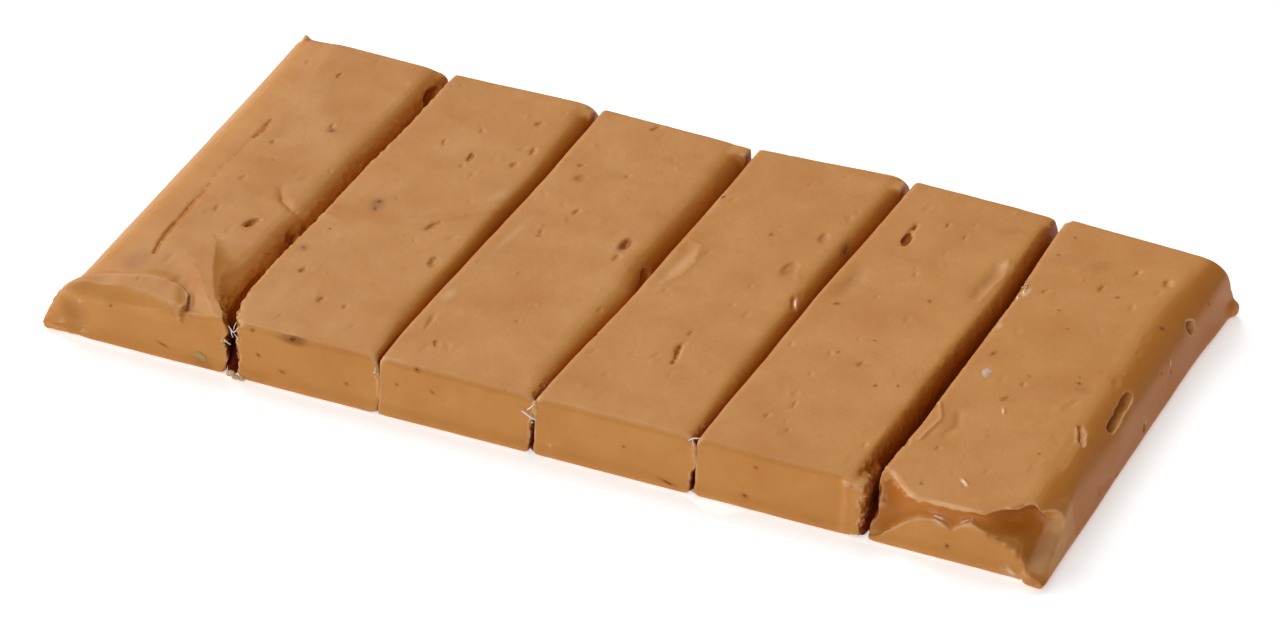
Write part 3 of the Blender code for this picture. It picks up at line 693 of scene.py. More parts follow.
def pebble(place, turn, radii, roughness, seed, rings=3):
    """An uneven rounded lump, its radii in millimetres."""
    bpy.ops.object.select_all(action="DESELECT")
    bpy.ops.mesh.primitive_ico_sphere_add(subdivisions=rings, radius=1.0)
    made = bpy.context.object
    shift = Vector((seed * 3.1, seed * 1.7, seed * 2.3))
    for vertex in made.data.vertices:
        vertex.co *= 1.0 + roughness * noise.noise(vertex.co * 1.6 + shift)
    made.rotation_mode = "QUATERNION"
    made.rotation_quaternion = turn
    made.scale = [radius * MM for radius in radii]
    made.location = place
    return settled(made)


def spike(start, tip, radius):
    """A thin cone drawn from start to tip, in metres."""
    run = tip - start
    bpy.ops.object.select_all(action="DESELECT")
    bpy.ops.mesh.primitive_cone_add(vertices=20, radius1=radius, depth=run.length)
    made = bpy.context.object
    made.rotation_mode = "QUATERNION"
    made.rotation_quaternion = run.to_track_quat("Z", "Y")
    made.location = (start + tip) / 2
    return settled(made)


def cord(points, radii, name, sides=2):
    """A closed tube along these points, in metres, with its own radius at each."""
    line = bpy.data.curves.new(name, "CURVE")
    line.dimensions = "3D"
    line.bevel_depth = 1.0
    line.bevel_resolution = sides
    line.use_fill_caps = True
    line.resolution_u = 4
    run = line.splines.new("NURBS")
    run.points.add(len(points) - 1)
    run.order_u = 3
    run.use_endpoint_u = True
    for knot, point, radius in zip(run.points, points, radii):
        knot.co = (*point, 1.0)
        knot.radius = radius
    made = bpy.data.objects.new(name, line)
    bpy.context.scene.collection.objects.link(made)
    only(made)
    bpy.ops.object.convert(target="MESH")
    return bpy.context.object


# ---- Sizes and colours that can be changed ----


def tint(name, text, value):
    """A colour setting."""
    return bpy.props.FloatVectorProperty(
        name=name, description=text, default=value, size=3, min=0.0, max=1.0, subtype="COLOR"
    )


def length(name, text, value):
    """A length setting, its default in millimetres."""
    return bpy.props.FloatProperty(
        name=name, description=text, default=value * MM, min=0.0, unit="LENGTH", precision=5
    )


def amount(name, text, value, top=10.0):
    """A plain number setting."""
    return bpy.props.FloatProperty(name=name, description=text, default=value, min=0.0, max=top)


class TaffyShape(bpy.types.PropertyGroup):
    """How the strips' surface is made."""

    coarse: length("Coarse cell", "Cell of the first pass over the solid", 0.18)
    fine: length("Fine cell", "Cell of the finished surface", 0.15)
    rounding: bpy.props.IntProperty(
        name="Rounding", description="Smoothing passes over the cut solid", default=3, min=0
    )
    swells: length("Swells", "Height of the broad unevenness", 0.1)
    ripples: length("Ripples", "Height of the unevenness a millimetre wide", 0.02)
    foot: length("Foot", "Height of the strips' underside over the film's base", 0.06)


class TaffyFinish(bpy.types.PropertyGroup):
    """Colours and gloss of the taffy, the film and what is set in the surface, with the colours of
    the painted shade and highlights.
    """

    body: tint("Taffy", "Body colour of the taffy", (0.58, 0.254, 0.058))
    deep: tint("Taffy, darker", "Its darker cloudy places", (0.53, 0.212, 0.043))
    # Cut faces: their own deeper colour, which also paints shade on the sides turned away from the
    # light
    cut: tint("Cut faces", "Taffy on the faces that were cut", (0.47, 0.14, 0.01))
    # Painted shade deep down between the strips, on the webs and the foot of the cut faces
    web: tint("Foot of the cuts", "Taffy deep down between the strips", (0.16, 0.016, 0.002))
    # Stains round nut skins, and painted shade in creases, pits and dents
    shade: tint("Shaded spots", "Stain round a nut skin under the surface", (0.36, 0.135, 0.024))
    # Sugar-pale places, and painted highlights on edges, rims and walls that face the light
    pale: tint("Pale places", "Sugar-pale places", (0.78, 0.52, 0.3))
    skin: tint("Nut skin", "Brown skins of the nuts", (0.27, 0.075, 0.014))
    chip: tint("Nut chip", "Chips of nut", (0.5, 0.33, 0.11))
    flake: tint("Flake", "Thin pale flake", (0.72, 0.47, 0.34))
    crumb: tint("Crumbs", "Pale crumbs at the cuts", (0.82, 0.58, 0.33))
    film: tint("Film", "Clear film", (0.98, 0.96, 0.96))
    torn: tint("Torn film", "Film where it is torn and crumpled", (0.9, 0.8, 0.78))
    roughness: amount("Roughness", "Roughness of the taffy", 0.46, 1.0)


class TaffyStage(bpy.types.PropertyGroup):
    """Light and camera."""

    side: amount("Side light", "Power of the low light at the left, in watts", 300.0, 1000.0)
    rear: amount("Rear light", "Power of the light at the back left, in watts", 340.0, 1000.0)
    front: amount("Front light", "Power of the light at the front, in watts", 232.0, 1000.0)
    sky: amount("Sky", "Strength of the white surroundings", 0.15)
    glow: amount("Glow", "Strength of the floor's own light", 0.4)
    lens: amount("Lens", "Focal length in millimetres", 201.379, 1000.0)
    floor: tint("Floor", "Colour of the floor", (0.94, 0.94, 0.94))


# ---- Materials ----


def new_material(name):
    """A material with its node tree and its Principled shader."""
    old = bpy.data.materials.get(name)
    if old:
        bpy.data.materials.remove(old)
    made = bpy.data.materials.new(name)
    made.use_nodes = True
    return made, made.node_tree, made.node_tree.nodes["Principled BSDF"]


def fixed(node, **values):
    """Sets values on a node's own sockets, an underscore in a name standing for a space."""
    for key, value in values.items():
        node.inputs[key.replace("_", " ")].default_value = value


def put(tree, kind, x, y, **settings):
    """A node with these settings, at this place in the editor."""
    made = tree.nodes.new(kind)
    made.location = (x, y)
    for key, value in settings.items():
        setattr(made, key, value)
    return made


def noise_node(tree, source, scale, detail, roughness, x, y, distortion=0.0):
    """A noise pattern, its scale in features per metre, or read from a socket."""
    made = put(tree, "ShaderNodeTexNoise", x, y)
    fixed(made, Detail=detail, Roughness=roughness, Distortion=distortion)
    if isinstance(scale, float):
        made.inputs["Scale"].default_value = scale
    else:
        tree.links.new(scale, made.inputs["Scale"])
    tree.links.new(source, made.inputs["Vector"])
    return made.outputs["Fac"]


def span(tree, source, low, high, to_low, to_high, x, y):
    """Maps a value from one span to another, held at its ends."""
    made = put(tree, "ShaderNodeMapRange", x, y)
    fixed(made, From_Min=low, From_Max=high, To_Min=to_low, To_Max=to_high)
    tree.links.new(source, made.inputs["Value"])
    return made.outputs["Result"]


def sums(tree, kind, first, second, x, y):
    """One sum of two values, of which the second may be a plain number."""
    made = put(tree, "ShaderNodeMath", x, y, operation=kind)
    tree.links.new(first, made.inputs[0])
    if isinstance(second, float):
        made.inputs[1].default_value = second
    else:
        tree.links.new(second, made.inputs[1])
    return made.outputs[0]


def blend_node(tree, share, first, second, x, y):
    """Blends two colours, each a socket or a plain colour, by a share."""
    made = put(tree, "ShaderNodeMix", x, y, data_type="RGBA")
    tree.links.new(share, made.inputs["Factor"])
    for source, socket in ((first, made.inputs["A"]), (second, made.inputs["B"])):
        if isinstance(source, bpy.types.NodeSocket):
            tree.links.new(source, socket)
        else:
            socket.default_value = (*source, 1.0)
    return made.outputs["Result"]


def cloud_group():
    """Cloudy tone, fine speckle and surface grain, which every material here shares."""
    found = bpy.data.node_groups.get("taffy_cloud")
    if found:
        return found
    made = bpy.data.node_groups.new("taffy_cloud", "ShaderNodeTree")
    face = made.interface
    face.new_socket("Vector", in_out="INPUT", socket_type="NodeSocketVector")
    for name, value in (("Cloud Size", 180.0), ("Speck Size", 2600.0), ("Grain Size", 4200.0)):
        socket = face.new_socket(name, in_out="INPUT", socket_type="NodeSocketFloat")
        socket.default_value = value
    for name in ("Tone", "Specks", "Grain"):
        face.new_socket(name, in_out="OUTPUT", socket_type="NodeSocketFloat")
    enter = put(made, "NodeGroupInput", -900, 0).outputs
    leave = put(made, "NodeGroupOutput", 500, 0).inputs
    cloud = noise_node(made, enter["Vector"], enter["Cloud Size"], 3.0, 0.55, -600, 300, 0.4)
    made.links.new(span(made, cloud, 0.32, 0.7, 0.0, 1.0, -300, 300), leave["Tone"])
    speck = noise_node(made, enter["Vector"], enter["Speck Size"], 1.0, 0.5, -600, 0)
    made.links.new(span(made, speck, 0.66, 0.8, 0.0, 1.0, -300, 0), leave["Specks"])
    fine = noise_node(made, enter["Vector"], enter["Grain Size"], 4.0, 0.6, -600, -300)
    broad = noise_node(made, enter["Vector"], 1500.0, 2.0, 0.5, -600, -550)
    half = sums(made, "MULTIPLY", broad, 0.8, -300, -550)
    made.links.new(sums(made, "ADD", fine, half, 0, -300), leave["Grain"])
    return made


def cloud_in(tree, cloud, fine):
    """The shared pattern group, read in the piece's own coordinates."""
    place = put(tree, "ShaderNodeTexCoord", -1500, 0)
    made = put(tree, "ShaderNodeGroup", -1250, 0, node_tree=cloud_group())
    fixed(made, Cloud_Size=cloud, Grain_Size=fine)
    tree.links.new(place.outputs["Object"], made.inputs["Vector"])
    return made.outputs


def mask_in(tree, name, x, y):
    """One of the masks that a strip's mesh carries."""
    return put(tree, "ShaderNodeAttribute", x, y, attribute_name=name).outputs["Fac"]


def rough_up(tree, shader, height, distance):
    """A fine relief on the shader's normal, its distance in millimetres."""
    made = put(tree, "ShaderNodeBump", -300, -500)
    fixed(made, Strength=1.0, Distance=distance * MM)
    tree.links.new(height, made.inputs["Height"])
    tree.links.new(made.outputs["Normal"], shader.inputs["Normal"])


def taffy_material(finish):
    """Soft waxy taffy: cloudy tan, stains, sugar-pale places, painted shade on the cut faces, in
    creases and deep in the cuts, painted highlights on edges, smooth wet spots and a fine grain.
    """
    found = bpy.data.materials.get("nut_taffy")
    if found:
        return found
    made, tree, shader = new_material("nut_taffy")
    cloud = cloud_in(tree, 180.0, 4200.0)
    colour = blend_node(tree, cloud["Tone"], finish.body, finish.deep, -1100, 300)
    faint = sums(tree, "MULTIPLY", cloud["Specks"], 0.35, -1000, 100)
    # Cut faces with painted shade, painted shade deep in the cuts, specks, stains with painted
    # shade, nut skins, pale places with painted highlights
    for share, over, x in (
        (mask_in(tree, "cut", -1100, -60), finish.cut, -950),
        (mask_in(tree, "depth", -1000, -160), finish.web, -800),
        (faint, finish.shade, -650),
        (mask_in(tree, "shade", -800, 60), finish.shade, -500),
        (mask_in(tree, "skin", -600, 60), finish.skin, -350),
        (mask_in(tree, "pale", -400, 60), finish.pale, -200),
    ):
        colour = blend_node(tree, share, colour, over, x, 300)
    tree.links.new(colour, shader.inputs["Base Color"])
    wet = mask_in(tree, "gloss", -900, -300)
    rough = finish.roughness
    dull = span(tree, cloud["Tone"], 0.0, 1.0, rough - 0.05, rough + 0.07, -700, -200)
    smoothed = sums(tree, "MULTIPLY", wet, 0.3, -700, -350)
    gloss = sums(tree, "SUBTRACT", dull, smoothed, -500, -200)
    tree.links.new(gloss, shader.inputs["Roughness"])
    rough_up(tree, shader, cloud["Grain"], 0.02)
    shine = span(tree, wet, 0.0, 1.0, 0.28, 1.0, -500, -650)
    tree.links.new(shine, shader.inputs["Specular IOR Level"])
    fixed(shader, Subsurface_Weight=0.15, Subsurface_Radius=(1.0, 0.42, 0.14))
    fixed(shader, Subsurface_Scale=0.9 * MM, IOR=1.45)
    return made


def plain_material(name, colour, dark, dull, relief, sizes=(900.0, 5200.0), shine=0.06):
    """Nut skin, chip, crumb or torn film: its colour, its roughness and its relief uneven."""
    made, tree, shader = new_material(name)
    cloud = cloud_in(tree, *sizes)
    darker = [value * dark for value in colour]
    tone = blend_node(tree, cloud["Tone"], colour, darker, -600, 300)
    tree.links.new(tone, shader.inputs["Base Color"])
    rough = span(tree, cloud["Tone"], 0.0, 1.0, *dull, -600, 0)
    tree.links.new(rough, shader.inputs["Roughness"])
    rough_up(tree, shader, cloud["Grain"], relief)
    fixed(shader, Specular_IOR_Level=shine)
    return made


def film_material(finish):
    """Thin clear film, which shows by its sheen and a faint light of its own."""
    made, tree, shader = new_material("clear_film")
    cloud = cloud_in(tree, 500.0, 1500.0)
    fixed(shader, Base_Color=(*finish.film, 1.0), Emission_Color=(1.0,) * 4, Emission_Strength=1.0)
    dull = span(tree, cloud["Tone"], 0.0, 1.0, 0.12, 0.3, -600, 0)
    tree.links.new(dull, shader.inputs["Roughness"])
    see = span(tree, cloud["Tone"], 0.0, 1.0, 0.01, 0.05, -600, -200)
    tree.links.new(see, shader.inputs["Alpha"])
    rough_up(tree, shader, cloud["Grain"], 0.05)
    return made


def floor_material(stage):
    """A plain pale matt floor with a faint glow of its own."""
    made, _, shader = new_material("pale_floor")
    fixed(shader, Base_Color=(*stage.floor, 1.0), Emission_Color=(1.0,) * 4)
    fixed(shader, Emission_Strength=stage.glow, Roughness=0.85, Specular_IOR_Level=0.1)
    return made


def wear_material(thing, material):
    """Gives the object this one material."""
    thing.data.materials.clear()
    thing.data.materials.append(material)


# ---- The strips ----


def fillings(number):
    """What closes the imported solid's own hollows in a strip before the finer ones are cut."""
    made = []
    for _, low, high in owned(BLOCKS, number):
        low, high = Vector(low) * MM, Vector(high) * MM
        bpy.ops.object.select_all(action="DESELECT")
        bpy.ops.mesh.primitive_cube_add(size=1.0, location=(low + high) / 2, scale=high - low)
        made.append(settled(bpy.context.object))
    for _, radius, line in owned(RODS, number):
        placed = [Vector(place) * MM for place in line]
        made.append(cord(placed, [radius * MM] * len(line), "rod", 8))
    return made


def soften_shoulder(strip):
    """Rounds off the flat facets along the strip's right shoulder."""
    x, y, z = points_of(strip).T
    bins = np.clip(np.round(y + 30).astype(int), 0, 60)
    edge = np.full(61, -1e9)
    np.maximum.at(edge, bins, np.where(z > 3.5, x, -1e9))
    near = smooth(x - edge[bins], -3.6, -2.6) * smooth(z, 2.0, 3.0)
    near *= smooth(y, -24.9, -23.9) * (1 - smooth(y, 25.2, 26.0))
    group = weigh(strip, "shoulder", near, 0.01)
    work(strip, "SMOOTH", factor=0.5, iterations=22, vertex_group=group)
    strip.vertex_groups.clear()


def first_cast(number, shape):
    """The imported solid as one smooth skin, its underside brought down to the film."""
    name = f"taffy_strip_{number}"
    made = merged_copy(NODE[number], name)
    low = STRIP_BOX[number][0].z
    for vertex in made.data.vertices:
        vertex.select = vertex.co.z < low + BASE_BAND * MM
    bpy.ops.object.mode_set(mode="EDIT")
    bpy.ops.transform.translate(value=(0, 0, shape.foot - low))
    bpy.ops.object.mode_set(mode="OBJECT")
    parts = [made]
    for order, middle, radii, turn in owned(LUMPS, number):
        parts.append(pebble(Vector(middle) * MM, upright(turn), radii, LUMP_UNEVEN, order + 200))
    for _, start, tip, radius in owned(SPIKES, number):
        parts.append(spike(Vector(start) * MM, Vector(tip) * MM, radius * MM))
    made = joined(parts + fillings(number), name)
    work(made, "REMESH", mode="VOXEL", voxel_size=shape.coarse, use_smooth_shade=True)
    work(made, "SMOOTH", factor=0.5, iterations=shape.rounding)
    soften_shoulder(made)
    return made


def tear_cutter():
    """A closed cutter whose back is the torn surface on the front of strip 6."""
    shares = np.linspace(0.0, 1.0, TEAR_ROWS)
    tables = []
    for _, line in TEAR:
        line = np.array(line)
        run = np.concatenate(([0.0], np.cumsum(np.hypot(*np.diff(line, axis=0).T))))
        tables.append([np.interp(shares * run[-1], run, line[:, axis]) for axis in (0, 1)])
    tables = np.array(tables)
    known = [place for place, _ in TEAR]
    columns, rows = round((known[-1] - known[0]) / TEAR_STEP), TEAR_ROWS + 1
    bpy.ops.object.select_all(action="DESELECT")
    bpy.ops.mesh.primitive_grid_add(x_subdivisions=columns, y_subdivisions=rows, size=1.0)
    made = bpy.context.object
    for vertex in made.data.vertices:
        row = round((vertex.co.y + 0.5) * rows) - 1
        x = known[0] + (vertex.co.x + 0.5) * columns * TEAR_STEP
        held = min(max(row, 0), TEAR_ROWS - 1)
        z, y = [np.interp(x, known, tables[:, axis, held]) for axis in (0, 1)]
        ragged = noise.noise(Vector((x * 1.7, z * 0.6, 5.0))) * smooth(z, 5.0, 6.2)
        y += 0.3 * float(ragged) + 0.08 * noise.noise(Vector((x * 1.1, y, z * 1.1)))
        if row < 0:
            y, z = y + TEAR_LEAN[0], z + TEAR_LEAN[1]
        if row >= TEAR_ROWS:
            z = TEAR_TOP
        vertex.co = Vector((x, y, z)) * MM
    work(made, "SMOOTH", factor=0.5, iterations=2)
    bpy.ops.object.mode_set(mode="EDIT")
    bpy.ops.mesh.select_all(action="SELECT")
    bpy.ops.mesh.extrude_region_move(TRANSFORM_OT_translate={"value": (0, -TEAR_REACH * MM, 0)})
    bpy.ops.mesh.select_all(action="SELECT")
    bpy.ops.mesh.normals_make_consistent(inside=False)
    bpy.ops.object.mode_set(mode="OBJECT")
    return made


def crack_cutter(strip, order, face, wide, deep, line):
    """An uneven cord that cuts one crack along its line."""
    places = []
    for start, end in zip(line[:-1], line[1:]):
        steps = max(2, int(math.dist(start, end) / CRACK_STEP))
        for share in (step / steps for step in range(steps)):
            places.append([a + (b - a) * share for a, b in zip(start, end)])
    places.append(line[-1])
    randoms = random.Random(order)
    placed, radii = [], []
    for place in places:
        at_end = place is places[0] or place is places[-1]
        thick = wide / 2 * (CRACK_TIP if at_end else 0.8 + 0.4 * randoms.random())
        shaken = [value + randoms.uniform(-CRACK_STRAY, CRACK_STRAY) for value in place]
        point, normal = landing(strip, face, shaken)
        placed.append(point - normal * (deep - thick) * MM)
        radii.append(thick * MM)
    return cord(placed, radii, "crack", 3)


def cutter_for(strip, number):
    """One closed cutter with all that is cut out of the strip."""
    parts = []
    for order, face, place, long, wide, deep, turn in owned(PITS, number):
        point, normal = landing(strip, face, place)
        radii = (long / 2 * PIT_LONGER, wide / 2 * PIT_WIDER, deep)
        turned = facing(face, normal, turn)
        parts.append(pebble(point, turned, radii, PIT_UNEVEN, order + 1))
    parts += [crack_cutter(strip, *row) for row in owned(CRACKS, number)]
    for order, middle, radii, turn, uneven in owned(BITES, number):
        parts.append(pebble(Vector(middle) * MM, upright(turn), radii, uneven, order + 300, 4))
    if number == 6:
        parts.append(tear_cutter())
    made = joined(parts, "cutter")
    work(made, "REMESH", mode="VOXEL", voxel_size=CUTTER_CELL * MM)
    return made


def run_of(points):
    """The distance along a strip from back to front: y on the top, and on down the front face."""
    down = np.clip(TOP - 0.3 - points[:, 2], 0.0, None)
    front = smooth(-points[:, 1], -FRONT - 0.9, -FRONT - 0.4)
    return points[:, 1] - down * front


def inside_flap(points):
    """How far each point is inside the flap's edge, negative outside, and its run."""
    run = run_of(points)
    reach, side = line_reach(np.column_stack((points[:, 0], run)), FLAP_EDGE)
    return reach * side, run


def fold_flap(heights, points, normals):
    """Adds strip 1's sunk corner, its rounded front rim and its flap to the heights."""
    x, y, z = points.T
    reach, side = line_reach(points[:, :2], CREASE)
    sunk = CREASE_DROP * (1 - np.exp(-np.clip(-reach * side, 0.0, None) / CREASE_WIDTH))
    heights -= sunk * smooth(-y, 11.0, 15.0) * smooth(z, 2.5, 4.5)
    radius = np.interp(x, *RIM_RADII)
    back, down = y - RIM_Y, RIM_Z - z
    out = np.hypot(np.maximum(radius - back, 0), np.maximum(radius - down, 0)) - radius
    heights -= np.clip(out, 0.0, None) * (normals[:, 0] > -0.7)
    inner, run = inside_flap(points)
    fade = smooth(run, -27.2, -25.6)
    thick = FLAP_INSIDE + (1 - FLAP_INSIDE) * np.exp(-np.clip(inner, 0, None) / FLAP_FALL)
    heights += FLAP_RISE * smooth(inner, -0.1, 0.15) * thick * fade
    heights -= 0.1 * bump(inner, -0.25, 0.22) * fade


def reliefs(strip, number):
    """Heights in millimetres of the strip's soft folds, glints, dents, foot and flap."""
    points, normals = points_of(strip), normals_of(strip)
    heights = np.zeros(len(points))
    for _, face, wide, high, line in owned(FOLDS, number):
        reach, _ = line_reach(flat_place(face, points), line)
        heights += high * bump(reach, 0.0, wide / 2) * on_face(face, points, normals)
    for _, face, place, long, wide, turn in owned(GLINTS, number):
        heights += GLINT_RISE * spot(points, normals, face, place, long, wide, turn, 0.6)
    foot = smooth(-normals[:, 1], 0.5, 0.9) * smooth(1.8 - points[:, 2], 0.0, 1.4)
    heights += FOOT_BULGE * foot
    randoms = random.Random(number)
    low, high = STRIP_BOX[number][0] / MM, STRIP_BOX[number][1] / MM
    for _ in range(DENTS):
        place = (randoms.uniform(low.x + 1, high.x - 2), randoms.uniform(low.y + 2, high.y - 1))
        size, turn = randoms.uniform(*DENT_SIZES), randoms.uniform(*DENT_TURNS)
        deep = randoms.choice(DENT_HEIGHTS)
        heights += deep * spot(points, normals, "top", place, size, size * 0.5, turn, 0.9)
    if number == 1:
        fold_flap(heights, points, normals)
    return heights


def torn(strip, number):
    """Where a strip's cut face was torn and not sliced, from 0 to 1."""
    side, share = TORN_FACES[number]
    faces_side = smooth(side * normals_of(strip)[:, 0], 0.35, 0.7)
    near_front = 0.25 + 0.75 * smooth(-points_of(strip)[:, 1], 19.0, 24.0)
    return share * faces_side * near_front


def rip(strip, number):
    """Roughens the torn part of a strip's cut face."""
    points, share = points_of(strip), torn(strip, number)
    ripped = share > 0.02
    waves = np.array([noise.fractal(Vector(point) * 1.1, 0.8, 2.1, 3) for point in points[ripped]])
    heights = np.zeros(len(points))
    heights[ripped] = waves * RIP_RISE * share[ripped]
    lift(strip, heights, "torn")


def bend_of(strip):
    """How sharply the surface bends at each point: positive on edges, negative in creases."""
    points, normals = points_of(strip), normals_of(strip)
    ends = np.empty(len(strip.data.edges) * 2, np.int64)
    strip.data.edges.foreach_get("vertices", ends)
    first, second = ends.reshape(-1, 2).T
    most = len(points)
    count = np.bincount(first, minlength=most) + np.bincount(second, minlength=most)

    def around(values):
        total = np.bincount(first, values[second], most) + np.bincount(second, values[first], most)
        return total / np.maximum(count, 1)

    bend = sum((points[:, axis] - around(points[:, axis])) * normals[:, axis] for axis in range(3))
    for _ in range(2):
        bend = (bend + around(bend)) / 2
    return bend


def tear_zones(points, normals):
    """Strip 6's torn place, the hollow in it, its right wall, and the painted highlight on its lip
    with the painted light on its lit wall, each 0 to 1.
    """
    x, y, z = points.T
    known = [place for place, _ in TEAR]
    lip = np.interp(x, known, [line[-1][1] for _, line in TEAR])
    ridge = np.interp(x, known, [line[0][0] for _, line in TEAR])
    ridge_y = np.interp(x, known, [line[0][1] for _, line in TEAR])
    within = smooth(y - ridge_y, 0.1, 0.5) * smooth(z - ridge, -0.1, 0.3)
    within = within * smooth(6.3 - z, 0.0, 0.5) * smooth(lip + 2.5 - y, 0.0, 0.6)
    steep = smooth(0.9 - normals[:, 2], 0.0, 0.3)
    within *= np.maximum(steep, smooth(x, 46.0, 47.5) * (z < 5.5))
    hollow = smooth(y - ridge_y, 0.8, 3.0) * smooth(z - 2.6, 0.0, 1.6) * smooth(53.0 - x, 0, 1.5)
    wall = smooth(x, 51.8, 54.0)
    # Painted highlight on the torn lip
    rim = bump(y - lip, 0.2, 0.3) * smooth(z, 5.9, 6.2)
    rim *= LIP_HIGHLIGHT * smooth(x, TEAR_START - 1, TEAR_START) * smooth(52.3 - x, 0.0, 0.4)
    # Painted light on the hollow's right wall, which faces the light
    bowl = BOWL_LIGHT * within * smooth(x, 50.4, 53.2) * smooth(0.7 - normals[:, 0], 0.0, 0.3)
    rim = np.maximum(rim, bowl * smooth(54.0 - x, 0.0, 0.6))
    return within, hollow, wall, rim


def masks(strip, number):
    """Writes the masks that the taffy's material reads, painted shade and painted highlights among
    them.
    """
    points, normals = points_of(strip), normals_of(strip)
    x, y, z = points.T
    low, high = STRIP_BOX[number][0].x / MM, STRIP_BOX[number][1].x / MM
    bend = bend_of(strip)
    # Painted shade in creases
    creases = SHADE_IN_CREASES * smooth(-bend, 0.008, 0.025)
    # Painted highlight on edges
    edges = EDGE_HIGHLIGHT * smooth(bend, 0.004, 0.011)
    edges *= smooth(z, 0.8, 1.6) * (LEFT_EDGE_HIGHLIGHT if number == 1 else 1.0)
    pale = np.maximum(spots(PALES, number, points, normals), edges)
    front = smooth(-normals[:, 1], 0.3, 0.7)
    # The cut faces' own deeper colour, which also paints shade on the sides turned away from the
    # light
    cut = smooth(np.abs(normals[:, 0]), 0.15, 0.7) * (1 - front)
    foot = smooth(4.9 - z, 0.0, 2.6)
    if number == 1:
        cut *= x > low + END_REACH
        inner, run = inside_flap(points)
        # Painted highlight on the flap's rim
        rim = FLAP_RIM_HIGHLIGHT * bump(inner, 0.25, 0.3) * smooth(run, -26, -25)
        # Painted sheen on the left-facing bevel
        bevel = BEVEL_SHEEN * smooth(-normals[:, 0], 0.35, 0.6) * (x < low + END_REACH)
        pale = np.maximum(np.maximum(rim, bevel), pale)
    # Painted shade towards the foot of the cut faces, deep in the cuts
    depth = CUT_FOOT_SHADE[number] * cut * foot
    if number == 6:
        within, hollow, wall, rim = tear_zones(points, normals)
        pale = np.maximum(pale, rim)
        # Painted shade on strip 6's right shoulder and end face, which are turned away from the
        # light
        shoulder = smooth(normals[:, 0], 0.1, 0.35) * (1 - smooth(normals[:, 0], 0.75, 0.95))
        end = SHOULDER_SHADE * shoulder + END_SHADE * smooth(normals[:, 0], 0.7, 0.95)
        cut = np.where(x > high - END_REACH, end, cut)
        # Painted shade in strip 6's torn place, lighter on its right wall, which faces the light
        inside = within * (0.75 + 0.25 * hollow) * (1 - 0.75 * wall)
        cut = np.maximum(cut * (1 - within * (x > TEAR_START)), inside)
        depth = CUT_FOOT_SHADE[number] * cut * foot * smooth(y, -23.5, -21.0)
        # Painted shade in the torn hollow of strip 6
        depth = np.where(x > TEAR_START, HOLLOW_SHADE * within * hollow * (1 - wall), depth)
    store(strip, "shade", np.maximum(spots(SHADES, number, points, normals), creases))
    store(strip, "pale", pale)
    store(strip, "gloss", spots(GLINTS, number, points, normals, (1.3, 1.3)))
    store(strip, "cut", cut)
    store(strip, "depth", depth)
    store(strip, "skin", SKIN_STAIN * spots(SKINS, number, points, normals, (1.1, 1.2)))


def flat_bottom(strip, shape):
    """Thins out the points of the flat, hidden underside."""
    only(strip)
    level = shape.foot + BOTTOM_BAND * MM
    bpy.ops.object.mode_set(mode="EDIT")
    bpy.context.tool_settings.mesh_select_mode = (False, False, True)
    bpy.ops.object.mode_set(mode="OBJECT")
    for polygon in strip.data.polygons:
        polygon.select = polygon.normal.z < -0.9 and polygon.center.z < level
    bpy.ops.object.mode_set(mode="EDIT")
    bpy.ops.mesh.decimate(ratio=BOTTOM_KEPT)
    bpy.ops.object.mode_set(mode="OBJECT")


def make_strip(number, shape, finish):
    """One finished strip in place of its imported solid."""
    strip = first_cast(number, shape)
    cutter = cutter_for(strip, number)
    work(strip, "BOOLEAN", operation="DIFFERENCE", solver="MANIFOLD", object=cutter)
    bpy.data.objects.remove(cutter)
    fine = shape.fine
    work(strip, "REMESH", mode="VOXEL", voxel_size=fine, use_smooth_shade=True)
    work(strip, "SMOOTH", factor=0.5, iterations=3)
    lift(strip, reliefs(strip, number), "relief")
    for name, size, depth, height in (
        ("swells", 6.0, 1, shape.swells),
        ("ripples", 1.3, 2, shape.ripples),
    ):
        pattern = grain(name, size, depth)
        keys = dict(texture=pattern, texture_coords="LOCAL", mid_level=0.5)
        work(strip, "DISPLACE", strength=height, **keys)
        bpy.data.textures.remove(pattern)
    rip(strip, number)
    for vertex in strip.data.vertices:
        vertex.co.z = max(vertex.co.z, shape.foot)
    flat_bottom(strip, shape)
    masks(strip, number)
    for polygon in strip.data.polygons:
        polygon.use_smooth = True
    wear_material(strip, taffy_material(finish))
    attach(strip, "root")
    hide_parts(NODE[number])


# ---- What the operators share ----


def strip_object(number):
    """The finished strip of this number."""
    found = bpy.data.objects.get(f"taffy_strip_{number}")
    if found is None:
        raise RuntimeError("make the strips first")
    return found


def set_in(number, face, place, radii, turn, sink, seed, rings):
    """An uneven lump lying in a strip's surface, sunk by this much in millimetres."""
    point, normal = landing(strip_object(number), face, place)
    centre = point - normal * sink * MM
    return pebble(centre, facing(face, normal, turn), radii, 0.4, seed, rings)


def dressed(parts, name, material):
    """One smooth piece made of these parts, in this material."""
    made = joined(parts, name)
    wear_material(made, material)
    bpy.ops.object.shade_smooth()
    return made


def aimed_from(turn, rise):
    """The way from the bar to a place turned from the front to the right, and raised."""
    turn, rise = math.radians(turn), math.radians(rise)
    flat = math.cos(rise)
    return Vector((math.sin(turn) * flat, -math.cos(turn) * flat, math.sin(rise)))


def stood(name, data, aim, turn, rise, reach):
    """A lamp or camera that stands this far from a spot and looks at it."""
    way = aimed_from(turn, rise)
    made = bpy.data.objects.new(name, data)
    made.location = aim + way * reach
    made.rotation_mode = "QUATERNION"
    made.rotation_quaternion = (-way).to_track_quat("-Z", "Y")
    bpy.context.scene.collection.objects.link(made)
    return made


# ---- Operators ----


